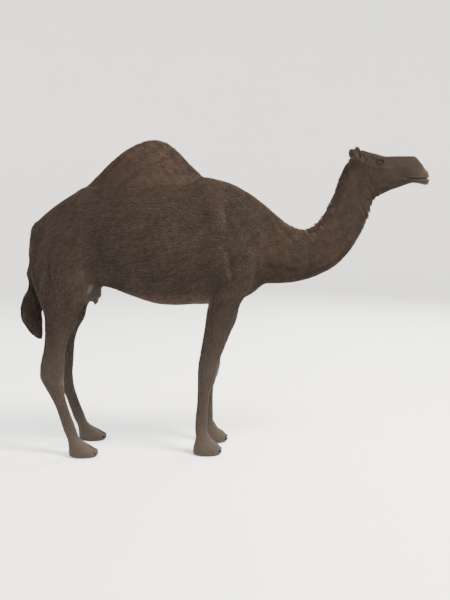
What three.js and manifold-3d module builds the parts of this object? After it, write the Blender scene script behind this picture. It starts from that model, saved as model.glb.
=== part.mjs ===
// A dromedary camel cow standing still, life size, with her head held level and her tail down.
// Millimetres. +X points from tail to nose, +Y to the animal's left, +Z up. The origin is on the floor,
// under the middle of the animal's length. Flesh is lofted through named stations, and parted at thin
// flat gaps.
import * as THREE from "three";
import { mergeVertices } from "three/addons/utils/BufferGeometryUtils.js";
import Module from "manifold-3d";

const wasm = await Module();
wasm.setup();

const GAP = 0.3; // between neighbouring parts
const SIDES = { right: -1, left: 1 };

// ---------------------------------------------------------------- the animal's driving sizes

// Stations of the body from buttock to lips. top and bottom are [x, z] on the midline, half is the half
// width, widest says how far up from the bottom the widest level is, and hump is its [height, half width].
const BODY = [
  { name: "buttock end", top: [-1300, 1450], bottom: [-1300, 1255], half: 52, widest: 0.5 },
  { name: "pin bone", top: [-1272, 1512], bottom: [-1272, 1190], half: 118, widest: 0.52 },
  { name: "tail root", top: [-1226, 1581], bottom: [-1226, 1150], half: 168, widest: 0.53 },
  { name: "rump", top: [-1160, 1638], bottom: [-1160, 1122], half: 202, widest: 0.53 },
  { name: "croup", top: [-1086, 1692], bottom: [-1086, 1104], half: 226, widest: 0.52 },
  { name: "hips", top: [-1004, 1742], bottom: [-1004, 1098], half: 240, widest: 0.5 },
  { name: "loin", top: [-915, 1792], bottom: [-915, 1102], half: 246, widest: 0.46 },
  { name: "flank", top: [-824, 1806], bottom: [-824, 1123], half: 256, widest: 0.43, hump: [71, 120] },
  { name: "last rib", top: [-730, 1808], bottom: [-730, 1100], half: 272, widest: 0.41, hump: [158, 168] },
  { name: "hump rear", top: [-640, 1812], bottom: [-640, 1064], half: 286, widest: 0.41, hump: [220, 196] },
  { name: "hump crown", top: [-545, 1818], bottom: [-545, 1030], half: 295, widest: 0.41, hump: [260, 208] },
  { name: "hump peak", top: [-455, 1824], bottom: [-455, 1004], half: 299, widest: 0.41, hump: [270, 208] },
  { name: "hump front", top: [-370, 1830], bottom: [-370, 995], half: 296, widest: 0.41, hump: [242, 196] },
  { name: "hump foot", top: [-290, 1836], bottom: [-290, 994], half: 287, widest: 0.41, hump: [176, 174] },
  { name: "shoulder blade", top: [-205, 1842], bottom: [-205, 1000], half: 272, widest: 0.41, hump: [81, 130] },
  { name: "girth", top: [-115, 1853], bottom: [-115, 1000], half: 252, widest: 0.41 },
  { name: "withers", top: [-20, 1834], bottom: [-16, 1006], half: 233, widest: 0.42 },
  { name: "shoulder", top: [66, 1807], bottom: [88, 1018], half: 217, widest: 0.42 },
  { name: "neck base", top: [142, 1767], bottom: [189, 1075], half: 192, widest: 0.42 },
  { name: "brisket", top: [214, 1721], bottom: [283, 1138], half: 162, widest: 0.43 },
  { name: "low neck", top: [285, 1664], bottom: [376, 1141], half: 140, widest: 0.45 },
  { name: "neck dip rear", top: [369, 1590], bottom: [474, 1148], half: 124, widest: 0.46 },
  { name: "neck dip", top: [455, 1529], bottom: [577, 1172], half: 113, widest: 0.48 },
  { name: "neck dip front", top: [548, 1505], bottom: [677, 1213], half: 105, widest: 0.5 },
  { name: "rising neck", top: [628, 1547], bottom: [772, 1273], half: 98, widest: 0.5 },
  { name: "mid neck", top: [690, 1634], bottom: [854, 1363], half: 92, widest: 0.5 },
  { name: "upper neck", top: [739, 1741], bottom: [923, 1477], half: 87, widest: 0.5 },
  { name: "nape", top: [775, 1854], bottom: [975, 1596], half: 84, widest: 0.5 },
  { name: "throat", top: [817, 1942], bottom: [1009, 1698], half: 83, widest: 0.52 },
  { name: "poll", top: [862, 1991], bottom: [1048, 1729], half: 88, widest: 0.56 },
  { name: "crown", top: [907, 2024], bottom: [1086, 1749], half: 93, widest: 0.6 },
  { name: "brow", top: [963, 2019], bottom: [1119, 1765], half: 95, widest: 0.62 },
  { name: "eye", top: [1013, 2009], bottom: [1150, 1775], half: 88, widest: 0.62 },
  { name: "cheek", top: [1071, 1993], bottom: [1178, 1785], half: 76, widest: 0.58 },
  { name: "nose root", top: [1124, 1993], bottom: [1204, 1794], half: 67, widest: 0.54 },
  { name: "nose", top: [1177, 1994], bottom: [1229, 1803], half: 61, widest: 0.5 },
  { name: "muzzle", top: [1230, 1994], bottom: [1258, 1809], half: 58, widest: 0.46 },
  { name: "nose end", top: [1276, 1991], bottom: [1290, 1807], half: 57, widest: 0.42 },
  { name: "nostril", top: [1308, 1957], bottom: [1322, 1803], half: 56, widest: 0.42 },
  { name: "upper lip", top: [1340, 1914], bottom: [1348, 1801], half: 51, widest: 0.45 },
  { name: "lips", top: [1360, 1884], bottom: [1362, 1804], half: 38, widest: 0.5 },
  { name: "lip ends", top: [1371, 1864], bottom: [1370, 1820], half: 20, widest: 0.5 },
];
const CUTS = { neck: "brisket", head: "poll" }; // stations where a new part begins

// Stations of a foreleg from shoulder to sole: its level, front and rear edge, and inner and outer
// distance from the midline.
const FORELEG = [
  { name: "blade top", z: 1650, front: 70, rear: -150, inner: 30, outer: 160 },
  { name: "blade", z: 1520, front: 128, rear: -168, inner: 40, outer: 210 },
  { name: "shoulder point", z: 1370, front: 188, rear: -160, inner: 50, outer: 246 },
  { name: "upper arm", z: 1230, front: 206, rear: -138, inner: 60, outer: 252 },
  { name: "elbow top", z: 1110, front: 172, rear: -122, inner: 74, outer: 246 },
  { name: "elbow", z: 1010, front: 111, rear: -108, inner: 88, outer: 233 },
  { name: "forearm top", z: 925, front: 87, rear: -116, inner: 98, outer: 228 },
  { name: "forearm", z: 845, front: 55, rear: -125, inner: 104, outer: 219 },
  { name: "forearm middle", z: 765, front: 25, rear: -137, inner: 108, outer: 211 },
  { name: "forearm end", z: 690, front: -4, rear: -149, inner: 110, outer: 205 },
  { name: "knee top", z: 620, front: -29, rear: -160, inner: 104, outer: 205 },
  { name: "knee", z: 550, front: -36, rear: -164, inner: 100, outer: 206 },
  { name: "knee foot", z: 485, front: -54, rear: -164, inner: 104, outer: 200 },
  { name: "cannon top", z: 425, front: -81, rear: -164, inner: 112, outer: 191 },
  { name: "cannon", z: 345, front: -93, rear: -165, inner: 117, outer: 184 },
  { name: "cannon middle", z: 265, front: -96, rear: -173, inner: 116, outer: 184 },
  { name: "fetlock top", z: 205, front: -97, rear: -177, inner: 111, outer: 189 },
  { name: "fetlock", z: 158, front: -98, rear: -178, inner: 105, outer: 196 },
  { name: "pastern", z: 122, front: -78, rear: -176, inner: 99, outer: 203 },
  { name: "instep", z: 94, front: -58, rear: -181, inner: 90, outer: 213 },
  { name: "toe top", z: 68, front: -22, rear: -188, inner: 79, outer: 225 },
  { name: "toe", z: 44, front: -2, rear: -194, inner: 70, outer: 234 },
  { name: "pad top", z: 22, front: 4, rear: -196, inner: 66, outer: 238 },
  { name: "pad", z: 8, front: 2, rear: -194, inner: 69, outer: 235 },
  { name: "sole", z: 0, front: -10, rear: -182, inner: 79, outer: 225 },
];
const FORELEG_CUTS = { forearm: 998, cannon: 500, foot: 150 }; // the level where each part ends above
const FORE_STRIDE = { right: -15, left: 26 }; // how far each forefoot stands ahead of the even stance
const STRIDE_FADES_AT = 1000; // the level where the stride no longer shifts the leg

// Stations of a hind leg from hip to sole, as for the foreleg.
const HINDLEG = [
  { name: "hip top", z: 1655, front: -1005, rear: -1090, inner: 70, outer: 122 },
  { name: "hip", z: 1570, front: -950, rear: -1158, inner: 55, outer: 188 },
  { name: "thigh top", z: 1450, front: -900, rear: -1236, inner: 45, outer: 232 },
  { name: "thigh", z: 1330, front: -868, rear: -1276, inner: 38, outer: 257 },
  { name: "thigh middle", z: 1220, front: -852, rear: -1272, inner: 34, outer: 262 },
  { name: "stifle top", z: 1130, front: -856, rear: -1252, inner: 40, outer: 259 },
  { name: "stifle", z: 1050, front: -899, rear: -1222, inner: 62, outer: 254 },
  { name: "gaskin top", z: 970, front: -951, rear: -1192, inner: 88, outer: 240 },
  { name: "gaskin", z: 890, front: -973, rear: -1179, inner: 108, outer: 227 },
  { name: "gaskin middle", z: 810, front: -1020, rear: -1179, inner: 118, outer: 220 },
  { name: "gaskin end", z: 725, front: -1047, rear: -1188, inner: 125, outer: 215 },
  { name: "hock top", z: 645, front: -1056, rear: -1205, inner: 129, outer: 214 },
  { name: "hock point", z: 580, front: -1061, rear: -1218, inner: 127, outer: 218 },
  { name: "hock", z: 525, front: -1065, rear: -1220, inner: 122, outer: 213 },
  { name: "hock foot", z: 465, front: -1067, rear: -1191, inner: 126, outer: 208 },
  { name: "hind cannon top", z: 400, front: -1061, rear: -1156, inner: 132, outer: 203 },
  { name: "hind cannon", z: 330, front: -1043, rear: -1122, inner: 138, outer: 202 },
  { name: "hind cannon middle", z: 258, front: -1020, rear: -1098, inner: 141, outer: 205 },
  { name: "ankle top", z: 200, front: -999, rear: -1079, inner: 142, outer: 212 },
  { name: "ankle", z: 156, front: -984, rear: -1064, inner: 140, outer: 223 },
  { name: "hind pastern", z: 122, front: -968, rear: -1050, inner: 137, outer: 235 },
  { name: "hind instep", z: 94, front: -938, rear: -1043, inner: 135, outer: 252 },
  { name: "hind toe top", z: 68, front: -891, rear: -1040, inner: 128, outer: 265 },
  { name: "hind toe", z: 44, front: -852, rear: -1040, inner: 122, outer: 276 },
  { name: "hind pad top", z: 22, front: -834, rear: -1040, inner: 119, outer: 281 },
  { name: "hind pad", z: 8, front: -838, rear: -1034, inner: 122, outer: 278 },
  { name: "hind sole", z: 0, front: -850, rear: -1018, inner: 133, outer: 267 },
];
const HINDLEG_CUTS = { gaskin: 1072, cannon: 560, foot: 150 };

// Swellings and hollows on the flesh, both sides alike: where each is, how far it reaches along x, y
// and z, and how far it pushes the surface out.
const BODY_FORMS = [
  { name: "hip bone", at: [-985, 225, 1640], reach: [62, 60, 55], push: 20 },
  { name: "pin bone", at: [-1265, 105, 1470], reach: [45, 50, 55], push: 14 },
  { name: "flank hollow", at: [-860, 248, 1480], reach: [70, 60, 110], push: -22 },
  { name: "shoulder blade edge", at: [-70, 198, 1640], reach: [60, 70, 130], push: 16 },
  { name: "behind the elbow", at: [-175, 222, 1200], reach: [60, 70, 130], push: -14 },
  { name: "shoulder point", at: [150, 188, 1370], reach: [70, 70, 90], push: 14 },
  { name: "brisket", at: [190, 0, 1085], reach: [80, 70, 50], push: 8 },
  { name: "brow ridge", at: [1012, 84, 1992], reach: [34, 24, 18], push: 13 },
  { name: "eye socket", at: [1026, 96, 1950], reach: [30, 34, 22], push: -9 },
  { name: "cheekbone", at: [1046, 86, 1912], reach: [52, 30, 15], push: 8 },
  { name: "jaw muscle", at: [985, 78, 1850], reach: [58, 40, 66], push: 12 },
  { name: "temple", at: [948, 92, 1985], reach: [26, 30, 22], push: -6 },
  { name: "crown", at: [922, 0, 2026], reach: [34, 46, 26], push: 7 },
  { name: "cheek hollow", at: [1130, 66, 1880], reach: [60, 30, 40], push: -6 },
  { name: "nostril wing", at: [1300, 48, 1936], reach: [24, 20, 24], push: 8 },
  { name: "nostril", at: [1322, 50, 1918], reach: [12, 18, 18], push: -9 },
  { name: "upper lip", at: [1345, 34, 1882], reach: [28, 24, 22], push: 7 },
  { name: "lip cleft", at: [1366, 0, 1880], reach: [18, 8, 34], push: -6 },
  { name: "lower lip", at: [1356, 0, 1816], reach: [24, 40, 16], push: 9 },
  { name: "chin hollow", at: [1285, 0, 1806], reach: [40, 50, 18], push: -4 },
];
const TOE_PARTING = { reach: [42, 9, 60], push: -18 }; // the groove between the two toes

const EYE = { at: [1026, 79, 1950], radius: 20 };
const EAR = {
  at: [880, 101, 2002],
  length: 100,
  width: 54,
  depth: 36,
  wall: 5,
  lean: -20, // degrees back from upright
  splay: 28, // degrees outward
  turn: 35, // degrees that the hollow is turned out from dead ahead
};
const NOSTRIL = {
  at: [1318, 47, 1926],
  length: 40,
  width: 22,
  height: 10,
  slope: 42, // degrees down toward the lips
  toe: 30, // degrees that its rear end stands out from the midline
};
const MOUTH = { corner: [1178, 1852], front: [1400, 1846], opening: 9 };
const NAIL = {
  length: 44,
  width: 34,
  height: 40,
  sunk: 13, // how far its middle lies behind the toe's front
  level: 30, // above the floor
  spread: 34, // from the foot's middle
};
const CHEST_PAD = { at: [-10, 0, 1008], length: 210, width: 132, height: 62 };
const UDDER = { at: [-897, 0, 1078], length: 142, width: 170, height: 146 };
const HUMP_CUT = { rear: [-972, 1806], front: [-96, 1862] }; // the hump's underside, on the midline

// The tail's bone end and its brush: a path on the midline, with half depth fore and aft and half width.
const TAIL = [
  { name: "root", at: [-1222, 1570], deep: 34, half: 46 },
  { name: "root end", at: [-1278, 1512], deep: 33, half: 42 },
  { name: "tail top", at: [-1277, 1440], deep: 27, half: 34 },
  { name: "tail middle", at: [-1293, 1360], deep: 22, half: 29 },
  { name: "tail low", at: [-1293, 1280], deep: 22, half: 29 },
  { name: "tail knot", at: [-1303, 1208], deep: 31, half: 36 },
  { name: "brush root", at: [-1292, 1140], deep: 30, half: 36 },
  { name: "brush head", at: [-1285, 1090], deep: 48, half: 46 },
  { name: "brush", at: [-1303, 1030], deep: 70, half: 56 },
  { name: "brush middle", at: [-1305, 960], deep: 76, half: 58 },
  { name: "brush low", at: [-1304, 890], deep: 74, half: 54 },
  { name: "brush end", at: [-1286, 825], deep: 54, half: 42 },
  { name: "brush tip", at: [-1264, 778], deep: 30, half: 24 },
  { name: "brush point", at: [-1250, 757], deep: 8, half: 8 },
];
const BRUSH_CUT = "brush root";

// How finely each part is drawn: rings to a station, and points round a ring.
const DETAIL = {
  trunk: { rings: 1, around: 30 },
  neck: { rings: 1, around: 22 },
  head: { rings: 2, around: 22 },
  leg: { rings: 1, around: 12 },
  foot: { rings: 1, around: 14 },
  tail: { rings: 1, around: 10 },
};
const OVAL_SIDES = { eye: 10, ear: 10, nostril: 6, nail: 8, pad: 10 }; // sides round each oval
const UPPER_POWER = 2.1; // how square a section is above and below its widest level: 2 is an ellipse
const LOWER_POWER = 2.15;
const LEG_POWER = 2.25;
const HUMP_BLEND = 0.3; // how softly the hump rises out of the back

// ---------------------------------------------------------------- curves and rings

// A smooth curve through evenly numbered values, at place t.
function splineAt(values, t) {
  const last = values.length - 1;
  const i = Math.min(Math.floor(t), last - 1);
  const f = t - i;
  const before = values[Math.max(i - 1, 0)];
  const from = values[i];
  const to = values[i + 1];
  const after = values[Math.min(i + 2, last)];
  const cubic = 3 * (from - to) + after - before;
  return from + 0.5 * f * (to - before + f * (2 * before - 5 * from + 4 * to - after + f * cubic));
}

// The stations' numbers at place t, read by name through pick.
const between = (stations, pick, t) => splineAt(stations.map(pick), t);

// The same closed outline with count points spaced evenly along it, starting at its first point.
function spaced(outline, count) {
  const lengths = outline.map((p, i) => p.distanceTo(outline[(i + 1) % outline.length]));
  const whole = lengths.reduce((sum, l) => sum + l, 0);
  const points = [];
  let i = 0;
  let passed = 0;
  for (let k = 0; k < count; k += 1) {
    const wanted = (k * whole) / count;
    while (passed + lengths[i] < wanted) {
      passed += lengths[i];
      i += 1;
    }
    const share = (wanted - passed) / lengths[i];
    points.push(outline[i].clone().lerp(outline[(i + 1) % outline.length], share));
  }
  return points;
}

// The distance from a section's centre to its edge in the direction (across, up), for half sizes and a
// power.
function superRadius(across, up, half, height, power) {
  const sum = Math.abs(across / half) ** power + Math.abs(up / height) ** power;
  return sum ** (-1 / power);
}

const FINE = 180; // points on an outline before it is spaced evenly

// A closed outline round centre, whose radius at (across, up) comes from radiusAt. It starts at its
// lowest point.
function outlineOf(centre, acrossAxis, upAxis, radiusAt) {
  return Array.from({ length: FINE }, (_, k) => {
    const angle = (2 * Math.PI * k) / FINE - Math.PI / 2;
    const across = Math.cos(angle);
    const up = Math.sin(angle);
    const r = radiusAt(across, up);
    return centre.clone().addScaledVector(acrossAxis, across * r).addScaledVector(upAxis, up * r);
  });
}

const Y_AXIS = new THREE.Vector3(0, 1, 0);
const X_AXIS = new THREE.Vector3(1, 0, 0);

// The body's ring at place t along its stations. A section is the upper and lower half of an oval, and
// over it the hump's taller and narrower oval, taken where it stands proud.
function bodyRing(t, around) {
  const at = (pick) => between(BODY, pick, t);
  const top = new THREE.Vector3(at((s) => s.top[0]), 0, at((s) => s.top[1]));
  const bottom = new THREE.Vector3(at((s) => s.bottom[0]), 0, at((s) => s.bottom[1]));
  const half = at((s) => s.half);
  const widest = at((s) => s.widest);
  const rise = Math.max(at((s) => (s.hump ? s.hump[0] : 0)), 0);
  const humpHalf = at((s) => (s.hump ? s.hump[1] : 90));
  const tall = top.distanceTo(bottom);
  const up = top.clone().sub(bottom).normalize();
  const centre = bottom.clone().addScaledVector(up, widest * tall);
  const above = (1 - widest) * tall;
  return spaced(
    outlineOf(centre, Y_AXIS, up, (across, upward) => {
      if (upward < 0) return superRadius(across, upward, half, widest * tall, LOWER_POWER);
      const oval = superRadius(across, upward, half, above, UPPER_POWER);
      const proud = superRadius(across, upward, humpHalf, above + rise, 2) - oval;
      return oval + 0.5 * (proud + Math.hypot(proud, HUMP_BLEND * rise)) * Math.sign(rise);
    }),
    around,
  );
}

// A leg's level ring at place t along its stations.
function legRing(stations, side, stride, t, around) {
  const at = (pick) => between(stations, pick, t);
  const z = at((s) => s.z);
  const shift = stride * Math.max(1 - z / STRIDE_FADES_AT, 0);
  const front = at((s) => s.front);
  const rear = at((s) => s.rear);
  const inner = at((s) => s.inner);
  const outer = at((s) => s.outer);
  const centre = new THREE.Vector3((front + rear) / 2 + shift, (side * (inner + outer)) / 2, z);
  const round = (across, forward) =>
    superRadius(across, forward, (outer - inner) / 2, (front - rear) / 2, LEG_POWER);
  return spaced(outlineOf(centre, Y_AXIS, X_AXIS, round), around);
}

// The place along stations where pick reaches value, for numbers that fall steadily.
function placeAt(stations, pick, value) {
  let low = 0;
  let high = stations.length - 1;
  for (let k = 0; k < 40; k += 1) {
    const middle = (low + high) / 2;
    if (between(stations, pick, middle) > value) low = middle;
    else high = middle;
  }
  return (low + high) / 2;
}

// Places from start to end, with every station between them and steps more in each span.
function places(start, end, steps) {
  const inner = [];
  for (let k = Math.ceil(start * steps); k <= Math.floor(end * steps); k += 1) inner.push(k / steps);
  const far = 0.2 / steps;
  const kept = inner.filter((t) => t > start + far && t < end - far);
  return [start, ...kept, end];
}

// ---------------------------------------------------------------- solids

// A closed surface through rings of equal count, with a point in the middle of each end.
function loft(rings) {
  const around = rings[0].length;
  const middle = (ring) =>
    ring.reduce((sum, p) => sum.add(p), new THREE.Vector3()).divideScalar(around);
  const points = [...rings.flat(), middle(rings[0]), middle(rings.at(-1))];
  const firstPole = points.length - 2;
  const lastPole = points.length - 1;
  const index = [];
  for (let k = 0; k < around; k += 1) {
    const next = (k + 1) % around;
    index.push(firstPole, next, k);
    for (let r = 0; r < rings.length - 1; r += 1) {
      const a = r * around;
      const b = a + around;
      index.push(a + k, a + next, b + k, a + next, b + next, b + k);
    }
    const end = (rings.length - 1) * around;
    index.push(lastPole, end + k, end + next);
  }
  const geometry = new THREE.BufferGeometry().setFromPoints(points);
  geometry.setIndex(index);
  return facingOut(geometry);
}

// Turns every face round if the closed surface encloses a negative volume.
function facingOut(geometry) {
  const p = geometry.getAttribute("position");
  const index = geometry.getIndex().array;
  const corners = [new THREE.Vector3(), new THREE.Vector3(), new THREE.Vector3()];
  let volume = 0;
  for (let i = 0; i < index.length; i += 3) {
    corners.forEach((corner, k) => corner.fromBufferAttribute(p, index[i + k]));
    volume += corners[0].dot(corners[1].clone().cross(corners[2]));
  }
  if (volume < 0) {
    for (let i = 0; i < index.length; i += 3) [index[i + 1], index[i + 2]] = [index[i + 2], index[i + 1]];
  }
  return geometry;
}

// Pushes a ring out or in, in its own plane, by each form, fading with distance, on both sides of the
// midline.
function sculpt(ring, forms) {
  const centre = ring.reduce((sum, p) => sum.add(p), new THREE.Vector3()).divideScalar(ring.length);
  const quarter = ring[Math.floor(ring.length / 4)];
  const facing = ring[0].clone().sub(centre).cross(quarter.clone().sub(centre));
  const fade = (p, { at: [x, y, z], reach: [rx, ry, rz] }) =>
    Math.exp(-(((p.x - x) / rx) ** 2 + ((Math.abs(p.y) - y) / ry) ** 2 + ((p.z - z) / rz) ** 2));
  return ring.map((p, i) => {
    const along = ring[(i + 1) % ring.length].clone().sub(ring.at(i - 1));
    const outward = along.cross(facing).normalize();
    const push = forms.reduce((sum, form) => sum + form.push * fade(p, form), 0);
    return p.clone().addScaledVector(outward, push);
  });
}

// A closed geometry as a solid that can be cut and joined.
function solidOf(geometry) {
  const bare = geometry.clone();
  bare.deleteAttribute("normal");
  bare.deleteAttribute("uv");
  const merged = mergeVertices(bare, 1e-3);
  const vertProperties = new Float32Array(merged.getAttribute("position").array);
  const triVerts = new Uint32Array(merged.getIndex().array);
  return new wasm.Manifold(new wasm.Mesh({ numProp: 3, vertProperties, triVerts }));
}

// A solid as a geometry that a mesh can show.
function geometryOf(solid) {
  const { vertProperties, triVerts, numProp } = solid.getMesh();
  const flat = new Float32Array((vertProperties.length / numProp) * 3);
  for (let i = 0; i * numProp < vertProperties.length; i += 1) {
    flat.set(vertProperties.subarray(i * numProp, i * numProp + 3), i * 3);
  }
  const geometry = new THREE.BufferGeometry();
  geometry.setAttribute("position", new THREE.BufferAttribute(flat, 3));
  geometry.setIndex(new THREE.BufferAttribute(triVerts, 1));
  geometry.computeVertexNormals();
  return geometry;
}

const joined = (solids) => solids.reduce((sum, solid) => sum.add(solid));
const station = (name) => BODY.findIndex((s) => s.name === name);

// The body between two of its stations. A part that begins at a cut starts one gap past it.
function bodyPart(from, to, { rings, around }, startGap) {
  const ringAt = (t) => sculpt(bodyRing(t, around), BODY_FORMS);
  const made = places(station(from), station(to), rings).map(ringAt);
  if (startGap) {
    const [a, b, c] = made[0];
    const along = b.clone().sub(a).cross(c.clone().sub(a)).normalize();
    along.multiplyScalar(Math.sign(along.x) * GAP);
    made[0].forEach((p) => p.add(along));
  }
  return solidOf(loft(made));
}

// A leg between two levels, as one loft.
function legPart(stations, side, stride, top, bottom, { rings, around }, forms = []) {
  const start = placeAt(stations, (s) => s.z, top);
  const end = placeAt(stations, (s) => s.z, bottom);
  const ringAt = (t) => sculpt(legRing(stations, side, stride, t, around), forms);
  return loft(places(start, end, rings).map(ringAt));
}

// An oval solid of the given length, width and height, placed by a matrix and grown by grow.
function oval([length, width, height], matrix, sides, grow = 0) {
  const shape = new THREE.SphereGeometry(1, sides, Math.round(sides * 0.65));
  shape.scale(length / 2 + grow, width / 2 + grow, height / 2 + grow);
  return solidOf(shape.applyMatrix4(matrix));
}

const movedTo = (x, y, z) => new THREE.Matrix4().makeTranslation(x, y, z);

// ---------------------------------------------------------------- parts

// The tail between two of its stations, grown by grow. A part that begins at a cut starts one gap past
// it.
function tailPart(from, to, { grow = 0, startGap = 0 } = {}) {
  const { rings, around } = DETAIL.tail;
  const last = TAIL.length - 1;
  const number = (pick, t) => between(TAIL, pick, t);
  const pathAt = (t) => new THREE.Vector3(number((s) => s.at[0], t), 0, number((s) => s.at[1], t));
  const start = TAIL.findIndex((s) => s.name === from);
  const stop = TAIL.findIndex((s) => s.name === to);
  const step = 0.05;
  const ringAt = (t) => {
    const along = pathAt(Math.min(t + step, last)).sub(pathAt(Math.max(t - step, 0))).normalize();
    const deepAxis = new THREE.Vector3(-along.z, 0, along.x);
    const deep = number((s) => s.deep, t) + grow;
    const half = number((s) => s.half, t) + grow;
    const round = (across, inward) => superRadius(across, inward, half, deep, 2);
    const end = t === start ? startGap - grow : t === stop ? grow : 0; // a grown part is longer too
    return spaced(outlineOf(pathAt(t).addScaledVector(along, end), Y_AXIS, deepAxis, round), around);
  };
  return loft(places(start, stop, rings).map(ringAt));
}

// Where an ear stands: leaning back, splayed outward, and turned so that its hollow faces forward and
// out.
function earMatrix(sign) {
  const { at, lean, splay, turn } = EAR;
  const angle = THREE.MathUtils.degToRad;
  const turned = new THREE.Euler(-sign * angle(splay), angle(lean), sign * angle(turn), "XYZ");
  return movedTo(at[0], sign * at[1], at[2]).multiply(new THREE.Matrix4().makeRotationFromEuler(turned));
}

// A small round ear, hollowed in front.
function earSolid(sign) {
  const { length, width, depth, wall } = EAR;
  const hollow = earMatrix(sign).multiply(movedTo(depth * 0.42, 0, length * 0.08));
  const inner = [depth - wall, width - 2 * wall, length * 0.86 - 2 * wall];
  const outer = oval([depth, width, length], earMatrix(sign), OVAL_SIDES.ear);
  return outer.subtract(oval(inner, hollow, OVAL_SIDES.ear));
}

// The udder or the chest pad: an oval let into the underside.
const padSolid = ({ at, length, width, height }, grow = 0) =>
  oval([length, width, height], movedTo(...at), OVAL_SIDES.pad, grow);

// A toe's nail, half sunk in the toe. sign is the side of the animal and turn the side of the foot.
function nailSolid(stations, sign, stride, turn, grow = 0) {
  const toe = stations.find((s) => s.z === 44);
  const x = toe.front + stride - NAIL.sunk;
  const y = sign * ((toe.inner + toe.outer) / 2 + turn * NAIL.spread);
  return oval([NAIL.length, NAIL.width, NAIL.height], movedTo(x, y, NAIL.level), OVAL_SIDES.nail, grow);
}

const material = (color, roughness) => new THREE.MeshStandardMaterial({ color, roughness, metalness: 0 });
const COAT = material(0x46342a, 0.9);
const HUMP_HAIR = material(0x35261d, 0.95);
const BRUSH_HAIR = material(0x261b15, 0.95);
const UDDER_SKIN = material(0x4e4038, 0.7);
const EYE_FINISH = material(0x120a06, 0.1);
const NAIL_FINISH = material(0x2e2722, 0.5);
const PAD_FINISH = material(0x5a4f45, 0.85);

const camel = new THREE.Group();
function addPart(name, solid, finish) {
  const mesh = new THREE.Mesh(geometryOf(solid), finish);
  mesh.name = name;
  camel.add(mesh);
}

// A slab one gap thick, along the line from rear to front on the midline.
function slab([x0, z0], [x1, z1], width) {
  const shape = new THREE.BoxGeometry(Math.hypot(x1 - x0, z1 - z0), width, GAP);
  const tilt = Math.atan2(z1 - z0, x1 - x0);
  const turned = new THREE.Matrix4().makeRotationY(-tilt);
  return solidOf(shape.applyMatrix4(movedTo((x0 + x1) / 2, 0, (z0 + z1) / 2).multiply(turned)));
}

// The trunk takes in each leg down to its first cut. The tail, udder and pad are let into it.
function addTrunkAndHump(legs) {
  const body = bodyPart("buttock end", CUTS.neck, DETAIL.trunk, false);
  const uppers = legs.map(({ stations, sign, stride, cuts }) => {
    const top = stations[0].z;
    const start = Math.max(...Object.values(cuts));
    return solidOf(legPart(stations, sign, stride, top, start + GAP, DETAIL.leg));
  });
  const lets = [
    solidOf(tailPart("root", BRUSH_CUT, { grow: GAP })),
    padSolid(UDDER, GAP),
    padSolid(CHEST_PAD, GAP),
  ];
  const whole = joined([body, ...uppers]).subtract(joined(lets));
  const parts = whole.subtract(slab(HUMP_CUT.rear, HUMP_CUT.front, 700)).decompose();
  const sized = parts.sort((a, b) => b.volume() - a.volume());
  addPart("trunk", sized[0], COAT);
  addPart("hump", sized[1], HUMP_HAIR);
}

function addNeck() {
  addPart("neck", bodyPart(CUTS.neck, CUTS.head, DETAIL.neck, true), COAT);
}

// The mouth is a thin wedge, open at the lips and closed at the corner.
function mouthSolid() {
  const { corner, front, opening } = MOUTH;
  const outline = new THREE.Shape([
    new THREE.Vector2(...corner),
    new THREE.Vector2(front[0], front[1] - opening / 2),
    new THREE.Vector2(front[0], front[1] + opening / 2),
  ]);
  const width = 200;
  const shape = new THREE.ExtrudeGeometry(outline, { depth: width, bevelEnabled: false });
  return solidOf(shape.translate(0, 0, -width / 2).rotateX(Math.PI / 2));
}

// A nostril: a slit that slopes with the muzzle and runs outward to the rear.
function nostrilSolid(sign) {
  const { at, length, width, height, slope, toe } = NOSTRIL;
  const angle = THREE.MathUtils.degToRad;
  const turned = new THREE.Euler(0, angle(slope), -sign * angle(toe), "ZYX");
  const rotated = new THREE.Matrix4().makeRotationFromEuler(turned);
  const matrix = movedTo(at[0], sign * at[1], at[2]).multiply(rotated);
  return oval([length, width, height], matrix, OVAL_SIDES.nostril);
}

function addHead() {
  let head = bodyPart(CUTS.head, "lip ends", DETAIL.head, true).subtract(mouthSolid());
  for (const [side, sign] of Object.entries(SIDES)) {
    const place = movedTo(EYE.at[0], sign * EYE.at[1], EYE.at[2]);
    const size = Array(3).fill(2 * EYE.radius);
    const grown = [EAR.depth, EAR.width, EAR.length];
    const lets = [
      oval(size, place, OVAL_SIDES.eye, GAP),
      oval(grown, earMatrix(sign), OVAL_SIDES.ear, GAP),
      nostrilSolid(sign),
    ];
    head = head.subtract(joined(lets));
    addPart(`eye_${side}`, oval(size, place, OVAL_SIDES.eye), EYE_FINISH);
    addPart(`ear_${side}`, earSolid(sign), COAT);
  }
  addPart("head", head, COAT);
}

// A leg's parts below the trunk, each from its cut down to the next, and the foot with its two nails.
function addLeg({ name, stations, sign, stride, cuts, side }) {
  const levels = Object.entries(cuts);
  levels.forEach(([part, top], i) => {
    const bottom = i + 1 < levels.length ? levels[i + 1][1] + GAP : 0;
    if (part !== "foot") {
      const solid = solidOf(legPart(stations, sign, stride, top, bottom, DETAIL.leg));
      addPart(`${name}_${side}_${part}`, solid, COAT);
      return;
    }
    const toe = stations.find((s) => s.z === 44);
    const parting = { ...TOE_PARTING, at: [toe.front + stride, (toe.inner + toe.outer) / 2, toe.z] };
    let foot = solidOf(legPart(stations, sign, stride, top, bottom, DETAIL.foot, [parting]));
    for (const [place, turn] of [["inner", -1], ["outer", 1]]) {
      foot = foot.subtract(nailSolid(stations, sign, stride, turn, GAP));
      addPart(`nail_${name}_${side}_${place}`, nailSolid(stations, sign, stride, turn), NAIL_FINISH);
    }
    addPart(`${name}_${side}_foot`, foot, COAT);
  });
}

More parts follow.
